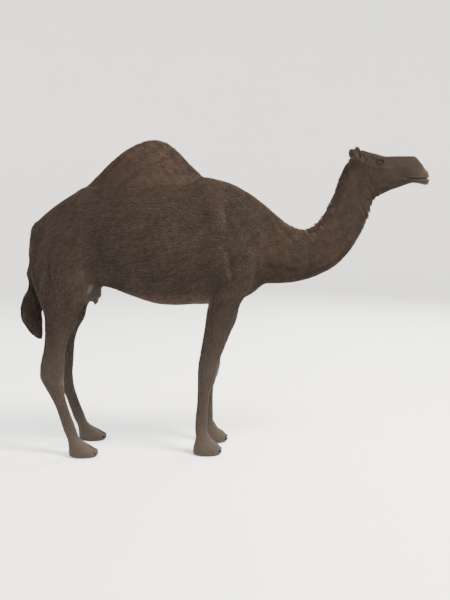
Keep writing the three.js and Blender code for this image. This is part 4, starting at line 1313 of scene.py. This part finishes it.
def make_nail(leg, side, place):
    """A blunt camel nail: a dome over the toe's front with ridges across it and a worn, flatter tip."""
    front, _, middle = toes_of(leg, side)
    sign = SIDES[side] * {"inner": -1, "outer": 1}[place]
    centre = [front - NAIL["sunk"], middle + sign * NAIL["spread"], NAIL["level"]]
    polar = np.pi * (np.arange(26) + 0.5)[:, None] / 26
    angle = 2 * np.pi * np.arange(40) / 40
    ball = xyz(np.cos(polar), np.sin(polar) * np.cos(angle), np.sin(polar) * np.sin(angle))
    forward = np.maximum(ball[..., X], 0)
    above = ball[..., Z] > 0
    local = np.sign(ball) * np.abs(ball) ** [0.9, 0.72, 0.8] * [NAIL["long"], NAIL["wide"], NAIL["high"]]
    local[..., Z] *= np.where(above, 1 - 0.62 * forward**1.3, 0.86 - 0.1 * forward)
    local[..., Z] += 0.3 * np.sin(local[..., X] * 1.5) * above * forward
    local[..., X] *= np.where(above, 1, 1 - 0.12 * np.abs(ball[..., Z]))
    return solid(f"horn_{leg}_{side}_{place}", 0.98 * local + centre)


def make_chest_pad():
    """The callus under the chest: a low oval cushion, cracked into plates toward its edge."""
    grid = egg_grid(CHEST_PAD["at"], CHEST_PAD["radii"], 70, 120)
    flat = grid.reshape(-1, 3)
    rough = 0.5 * wave_noise(flat, 16, 61) + 0.35 * wave_noise(flat, 7, 62)
    push = rough - 1.3 * bell(wave_noise(flat, 30, 63), 0.12)
    grid = grid + (grid - CHEST_PAD["at"]) / CHEST_PAD["radii"] * push.reshape(grid.shape[:2])[..., None]
    grid[..., Z] += 1.3 * np.maximum(grid[..., Z] - CHEST_PAD["at"][Z], 0)
    return solid("chest_callus", grid)


# ------------------------------------------------------------------ finishes

FACTOR, A, B = 0, 6, 7  # the inputs of a Mix node that mixes colours
COLOUR = {"output": 2, "data_type": "RGBA"}
HAIR_GLOSS = {"Specular IOR Level": 0.22, "Sheen Roughness": 0.45}
HIDE_GLOSS = {"Specular IOR Level": 0.25, "Sheen Roughness": 0.5, "Sheen Weight": 0.06}
EYE_GLOSS = {"Roughness": 0.12, "IOR": 1.376, "Specular IOR Level": 0.2}
EYE_GLOSS |= {"Coat Weight": 0.8, "Coat IOR": 1.25, "Coat Roughness": 0.02}
DUST = "#6E5E52"  # the tint of the coat's sheen


def linear(code):
    """An sRGB hex colour as linear red, green, blue and one."""
    parts = [int(code[i : i + 2], 16) / 255 for i in (1, 3, 5)]
    return tuple(c / 12.92 if c <= 0.04045 else ((c + 0.055) / 1.055) ** 2.4 for c in parts) + (1,)


def add(tree, kind, inputs=None, output=0, **settings):
    """Adds a node with its settings and gives back one of its outputs, by number or name.

    An input is given a value, a hex colour, or a link where it is given another node's output.
    """
    node = tree.nodes.new("ShaderNode" + kind)
    for name, value in settings.items():
        setattr(node, name, value)
    for name, value in (inputs or {}).items():
        if isinstance(value, bpy.types.NodeSocket):
            tree.links.new(value, node.inputs[name])
        else:
            node.inputs[name].default_value = linear(value) if isinstance(value, str) else value
    return node.outputs[output] if node.outputs else None


def new_finish(name):
    """An empty material and its node tree."""
    finish = bpy.data.materials.new(name)
    finish.use_nodes = True
    finish.node_tree.nodes.clear()
    return finish, finish.node_tree


def surface(tree, inputs):
    """The shader and the output of a finish."""
    add(tree, "OutputMaterial", {"Surface": add(tree, "BsdfPrincipled", inputs)})


# The coat's markings: place in metres, reach of the patch, colour, and how far it covers.
MARKINGS = {
    "sun-bleached back": ((-0.45, 0, 2.10), (0.95, 0.40, 0.60), "#382C25", 0.5),
    "bleached crest": ((0.42, 0, 1.62), (0.45, 0.10, 0.26), "#372C25", 0.5),
    "belly": ((-0.45, 0, 1.02), (0.55, 0.22, 0.16), "#43362D", 0.7),
    "right flank fold": ((-0.86, -0.20, 1.14), (0.13, 0.12, 0.15), "#392F28", 0.45),
    "left flank fold": ((-0.86, 0.20, 1.14), (0.13, 0.12, 0.15), "#392F28", 0.45),
    "throat": ((0.93, 0, 1.66), (0.10, 0.10, 0.20), "#221A16", 0.6),
    "muzzle": ((1.36, 0, 1.86), (0.13, 0.10, 0.10), "#42382F", 0.6),
    "right eye ring": ((1.03, -0.10, 1.95), (0.050, 0.05, 0.036), "#1E1714", 0.7),
    "left eye ring": ((1.03, 0.10, 1.95), (0.050, 0.05, 0.036), "#1E1714", 0.7),
    "udder skin": ((-0.90, 0, 1.06), (0.11, 0.12, 0.07), "#2F2723", 0.8),
}
# Dust on the legs: the levels where it sets in and is full, colour, and how far it covers.
DUSTY = {"lower legs": (0.98, 0.55, "#342B25", 0.7), "feet": (0.26, 0.02, "#443A32", 0.7)}


def markings(tree):
    """The coat's colour by place: soft patches, dusty legs, and mottling a hand wide."""
    place = add(tree, "TexCoord", output="Object")
    mottle = add(tree, "TexNoise", {"Vector": place, "Scale": 9, "Detail": 4, "Roughness": 0.6}, "Color")
    shade = mottle.node.outputs["Fac"]
    drift = add(tree, "VectorMath", {0: mottle, 1: (0.5, 0.5, 0.5)}, operation="SUBTRACT")
    drift = add(tree, "VectorMath", {0: drift, "Scale": 0.16}, operation="SCALE")
    spot = add(tree, "VectorMath", {0: place, 1: drift}, operation="ADD")
    shade = add(tree, "MapRange", {"Value": shade, 1: 0.3, 2: 0.7})
    colour = add(tree, "Mix", {FACTOR: shade, A: "#231B16", B: "#30261E"}, **COLOUR)
    masks = []
    for at, reach, tint, cover in MARKINGS.values():
        off = add(tree, "VectorMath", {0: spot, 1: at}, operation="SUBTRACT")
        off = add(tree, "VectorMath", {0: off, 1: reach}, operation="DIVIDE")
        far = add(tree, "VectorMath", {0: off}, "Value", operation="LENGTH")
        edge = {"Value": far, 1: 0.55, 2: 1.25, 3: cover, 4: 0}
        masks.append((add(tree, "MapRange", edge, interpolation_type="SMOOTHSTEP"), tint))
    height = add(tree, "SeparateXYZ", {0: spot}, "Z")
    for low, high, tint, cover in DUSTY.values():
        masks.append((add(tree, "MapRange", {"Value": height, 1: low, 2: high, 4: cover}), tint))
    for mask, tint in masks:
        colour = add(tree, "Mix", {FACTOR: mask, A: colour, B: tint}, **COLOUR)
    return colour, place


def hair_finish(name, root, tip, sheen=0.08, rough=0.7):
    """Camel hair: dull keratin, dark and shaded at the root, bleached by the sun at the tip.

    root and tip are what the coat's red, green and blue are multiplied by there.
    """
    finish, tree = new_finish(name)
    colour, place = markings(tree)
    along = add(tree, "Attribute", output="Fac", attribute_name="along")
    tone = add(tree, "Attribute", output="Fac", attribute_name="tone")
    strand = add(tree, "TexNoise", {"Vector": place, "Scale": 260, "Detail": 2})
    reach = add(tree, "Math", {0: tone, 1: 0.6, 2: -0.12}, operation="MULTIPLY_ADD")
    fade = add(tree, "Math", {0: along, 1: reach}, operation="ADD")
    fade = add(tree, "Math", {0: strand, 1: 0.5, 2: fade}, operation="MULTIPLY_ADD")
    light = add(tree, "MapRange", {"Value": fade, 1: 0.25, 2: 1.5})
    dark = add(tree, "VectorMath", {0: colour, 1: root}, operation="MULTIPLY")
    pale = add(tree, "VectorMath", {0: colour, 1: tip}, operation="MULTIPLY")
    hair = add(tree, "Mix", {FACTOR: light, A: dark, B: pale}, **COLOUR)
    gloss = {"Roughness": rough, "Sheen Weight": sheen, "Sheen Tint": DUST}
    surface(tree, {"Base Color": hair} | gloss | HAIR_GLOSS)
    return finish


def cracked(tree, place, scale):
    """Cracks between uneven plates: 0 in a crack and 1 on a plate. Scale is plates to a metre.

    The plates' edges are bent by a finer grain, which is given back as well.
    """
    grain = add(tree, "TexNoise", {"Vector": place, "Scale": 2.2 * scale, "Detail": 5}, "Color")
    shift = add(tree, "VectorMath", {0: grain, "Scale": 1.1 / scale}, operation="SCALE")
    bent = add(tree, "VectorMath", {0: place, 1: shift}, operation="ADD")
    cracks = add(tree, "TexVoronoi", {"Vector": bent, "Scale": scale}, "Distance", feature="DISTANCE_TO_EDGE")
    return add(tree, "MapRange", {"Value": cracks, 1: 0, 2: 0.16}), grain.node.outputs["Fac"]


def hide_finish():
    """The hide with its close short hair: dull strokes 2.5 mm wide along the lie, painted darker as shade
    under the locks, and bare skin.

    On bare places the body shows callus in plates 5 mm across, and the head fine creases, darker and damp.
    """
    finish, tree = new_finish("short_haired_hide")
    colour, place = markings(tree)
    lie = add(tree, "Attribute", output="Vector", attribute_name="lie")
    upright = add(tree, "Math", {0: add(tree, "SeparateXYZ", {0: lie}, "Z")}, operation="ABSOLUTE")
    strokes = []
    for stretch in ((40, 420, 420), (420, 420, 40)):  # hair that lies along X, and hair that hangs
        grain = add(tree, "Mapping", {"Vector": place, "Scale": stretch})
        strokes.append(add(tree, "TexNoise", {"Vector": grain, "Scale": 1, "Detail": 3}))
    hanging = add(tree, "MapRange", {"Value": upright, 1: 0.35, 2: 0.85})
    stroke = add(tree, "Mix", {0: hanging, 2: strokes[0], 3: strokes[1]}, data_type="FLOAT")
    # painted shade under the locks: the coat's colour never above 0.85 of itself, with the strokes' grain in
    # it
    strokes_and_painted_shade = add(tree, "MapRange", {"Value": stroke, 1: 0.3, 2: 0.7, 3: 0.4, 4: 0.85})
    coat = add(tree, "VectorMath", {0: colour, "Scale": strokes_and_painted_shade}, operation="SCALE")
    bare = add(tree, "Attribute", output="Fac", attribute_name="bare")
    ahead = add(tree, "SeparateXYZ", {0: place}, "X")
    head = add(tree, "MapRange", {"Value": ahead, 1: 0.75, 2: 0.85})
    plate, _ = cracked(tree, place, 190)
    callus = add(tree, "Mix", {FACTOR: plate, A: "#221D19", B: "#3A332C"}, **COLOUR)
    creases = add(tree, "Mapping", {"Vector": place, "Scale": (300, 700, 900)})
    creases = add(tree, "TexNoise", {"Vector": creases, "Scale": 1, "Detail": 4})
    pattern = add(tree, "Mix", {0: head, 2: plate, 3: creases}, data_type="FLOAT")
    naked = add(tree, "Mix", {FACTOR: head, A: callus, B: "#1B1411"}, **COLOUR)
    shown = add(tree, "Mix", {FACTOR: bare, A: coat, B: naked}, **COLOUR)
    relief = add(tree, "Mix", {0: bare, 2: stroke, 3: pattern}, data_type="FLOAT")
    bump = add(tree, "Bump", {"Height": relief, "Strength": 0.8, "Distance": 0.0016})
    wet = add(tree, "Math", {0: bare, 1: head}, operation="MULTIPLY")
    rough = add(tree, "MapRange", {"Value": wet, 3: 0.78, 4: 0.55})
    looks = {"Base Color": shown, "Roughness": rough, "Normal": bump, "Sheen Tint": DUST}
    surface(tree, looks | HIDE_GLOSS)
    return finish


def eye_finish():
    """A camel's eye: dark brown iris with rays, a long level pupil, and a wet clear front."""
    finish, tree = new_finish("wet_eye")
    spot = add(tree, "UVMap", uv_map="iris")
    off = add(tree, "VectorMath", {0: spot, 1: (0.5, 0.5, 0)}, operation="SUBTRACT")
    radius = add(tree, "VectorMath", {0: off}, "Value", operation="LENGTH")
    squeezed = add(tree, "VectorMath", {0: off, 1: (1, 2.1, 0)}, operation="MULTIPLY")
    pupil = add(tree, "VectorMath", {0: squeezed}, "Value", operation="LENGTH")
    turn = add(tree, "TexGradient", {"Vector": off}, "Fac", gradient_type="RADIAL")
    rays = add(tree, "CombineXYZ", {0: turn, 1: radius})
    rays = add(tree, "Mapping", {"Vector": rays, "Scale": (60, 6, 1)})
    rays = add(tree, "TexNoise", {"Vector": rays, "Scale": 1, "Detail": 3})
    iris = add(tree, "Mix", {FACTOR: rays, A: "#130904", B: "#2E190D"}, **COLOUR)
    edge = add(tree, "MapRange", {"Value": radius, 1: 0.30, 2: 0.36})
    white = add(tree, "Mix", {FACTOR: edge, A: iris, B: "#2A1F19"}, **COLOUR)
    ring = add(tree, "MapRange", {"Value": radius, 1: 0.26, 2: 0.33})
    ringed = add(tree, "Mix", {FACTOR: ring, A: iris, B: "#0E0705"}, **COLOUR)
    ball = add(tree, "Mix", {FACTOR: edge, A: ringed, B: white}, **COLOUR)
    inside = add(tree, "MapRange", {"Value": pupil, 1: 0.26, 2: 0.235})
    shown = add(tree, "Mix", {FACTOR: inside, A: ball, B: "#020202"}, **COLOUR)
    surface(tree, {"Base Color": shown} | EYE_GLOSS)
    return finish


def horn_finish():
    """Nail horn: keratin in layers, near black, paler and duller where it is worn."""
    finish, tree = new_finish("nail_horn")
    place = add(tree, "TexCoord", output="Object")
    grain = add(tree, "Mapping", {"Vector": place, "Scale": (420, 60, 90)})
    layers = add(tree, "TexNoise", {"Vector": grain, "Scale": 1, "Detail": 4})
    height = add(tree, "SeparateXYZ", {0: place}, "Z")
    worn = add(tree, "MapRange", {"Value": height, 1: 0.024, 2: 0.006, 4: 0.7})
    worn = add(tree, "Math", {0: layers, 1: worn}, operation="MULTIPLY")
    dark = add(tree, "Mix", {FACTOR: layers, A: "#0C0A08", B: "#1C1713"}, **COLOUR)
    shown = add(tree, "Mix", {FACTOR: worn, A: dark, B: "#332C26"}, **COLOUR)
    bump = add(tree, "Bump", {"Height": layers, "Strength": 0.5, "Distance": 0.0008})
    surface(tree, {"Base Color": shown, "Roughness": 0.6, "Specular IOR Level": 0.2, "Normal": bump})
    return finish


def callus_finish():
    """Callus: thick dead skin, dry and dull, cracked into plates a centimetre across, with dust in them."""
    finish, tree = new_finish("dry_callus")
    plate, grain = cracked(tree, add(tree, "TexCoord", output="Object"), 110)
    base = add(tree, "Mix", {FACTOR: grain, A: "#38302A", B: "#5A5047"}, **COLOUR)
    shown = add(tree, "Mix", {FACTOR: plate, A: "#241F1A", B: base}, **COLOUR)
    relief = add(tree, "Math", {0: grain, 1: 0.3, 2: plate}, operation="MULTIPLY_ADD")
    bump = add(tree, "Bump", {"Height": relief, "Strength": 0.9, "Distance": 0.0015})
    surface(tree, {"Base Color": shown, "Roughness": 0.88, "Normal": bump})
    return finish


def studio_finish():
    """Painted studio floor: matt, pale, with faint clouds of wear a metre wide."""
    finish, tree = new_finish("studio_paint")
    place = add(tree, "TexCoord", output="Object")
    clouds = add(tree, "TexNoise", {"Vector": place, "Scale": 0.9, "Detail": 3})
    shown = add(tree, "Mix", {FACTOR: clouds, A: "#F0EFEC", B: "#F4F3F0"}, **COLOUR)
    surface(tree, {"Base Color": shown, "Roughness": 0.9})
    return finish


# ------------------------------------------------------------------ camera, floor and light

CAMERA = {"at": (0.010, -5.60, 1.70), "down": 6.857731, "lens": 49.80492, "sensor": 36}
STUDIO = {"floor": 10.5, "bend": 3.0, "wall": 13.0, "around": 96}  # metres
AIM = (0, 0, 1.2)  # where the lamps point
# Soft lamps: place, size in metres, power in watts and colour.
LAMPS = {
    "key": ((3.5, -2.2, 6.5), 2.5, 1950, "#FFF6EA"),
    "fill": ((-5.6, -4.0, 2.5), 5.0, 190, "#EEF3FF"),
    "rim": ((3.2, 6.0, 5.0), 4.0, 800, "#FFFFFF"),
    "rear": ((-6.0, 4.2, 3.6), 4.0, 320, "#F4F6FF"),
}
SKY = {"Color": "#EEF1F4", "Strength": 1.8}


def make_camera():
    """A level camera on her right side, tipped down a little."""
    data = bpy.data.cameras.new("view")
    data.sensor_fit, data.sensor_width, data.lens = "AUTO", CAMERA["sensor"], CAMERA["lens"]
    camera = placed("view", data)
    camera.location = CAMERA["at"]
    camera.rotation_euler = (math.radians(90 - CAMERA["down"]), 0, 0)
    bpy.context.scene.camera = camera


def make_studio(finish):
    """A pale bowl: a flat round floor whose edge turns up in a quarter circle into a wall."""
    turn = np.linspace(0, np.pi / 2, 14)
    edge = STUDIO["floor"] + STUDIO["bend"]
    radius = np.concatenate([[0.5, 5], STUDIO["floor"] + STUDIO["bend"] * np.sin(turn), [edge]])[:, None]
    height = np.concatenate([[0, 0], STUDIO["bend"] * (1 - np.cos(turn)), [STUDIO["wall"]]])[:, None]
    angle = 2 * np.pi * np.arange(STUDIO["around"]) / STUDIO["around"]
    points, faces = shell(xyz(radius * np.cos(angle), radius * np.sin(angle), height) / MM)
    end = len(points) - 1  # the pole over the open top, left out
    bowl = new_object("studio_floor", points[:end], [face[::-1] for face in faces if end not in face])
    bowl.data.shade_smooth()
    bowl.data.materials.append(finish)


def make_lamps():
    """Four round soft lamps aimed at the middle of the body, and an even pale sky."""
    for name, (at, size, power, tint) in LAMPS.items():
        data = bpy.data.lights.new(name, "AREA")
        data.shape, data.size, data.energy = "DISK", size, power
        data.color = linear(tint)[:3]
        lamp = placed(name, data)
        lamp.location = at
        lamp.rotation_euler = (Vector(AIM) - Vector(at)).to_track_quat("-Z", "Y").to_euler()
    world = bpy.data.worlds.new("studio")
    world.use_nodes = True
    sky = world.node_tree.nodes["Background"].inputs
    sky["Color"].default_value = linear(SKY["Color"])
    sky["Strength"].default_value = SKY["Strength"]
    bpy.context.scene.world = world


# ------------------------------------------------------------------ putting it together

make_camera()
make_studio(studio_finish())
make_lamps()

hair = hair_finish("camel_hair", (0.4, 0.39, 0.385), (1.5, 1.42, 1.34))
tail_hair = hair_finish("tail_hair", (0.25, 0.25, 0.25), (0.85, 0.78, 0.72))
lash_hair = hair_finish("lash_hair", (0.12, 0.12, 0.12), (0.25, 0.24, 0.24), rough=0.5)

skin = make_skin()
field = skin_field(skin)
FLESH = [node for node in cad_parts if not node.startswith(("eye", "nail", "chest", "tail_brush"))]
finish(skin, hide_finish(), "coat", *FLESH)
make_coats(field, hair)
finish(make_brush(), tail_hair, "brush", "tail_brush")
finish(make_lashes(), lash_hair, "coat")
finish(make_whiskers(field), lash_hair, "coat")

wet_eye, horn = eye_finish(), horn_finish()
for side in SIDES:
    finish(make_eye(side), wet_eye, "eye", f"eye_{side}")
    for leg in LEGS:
        for place in ("inner", "outer"):
            finish(make_nail(leg, side, place), horn, "nail", f"nail_{leg}_{side}_{place}")
finish(make_chest_pad(), callus_finish(), "pad", "chest_pad")
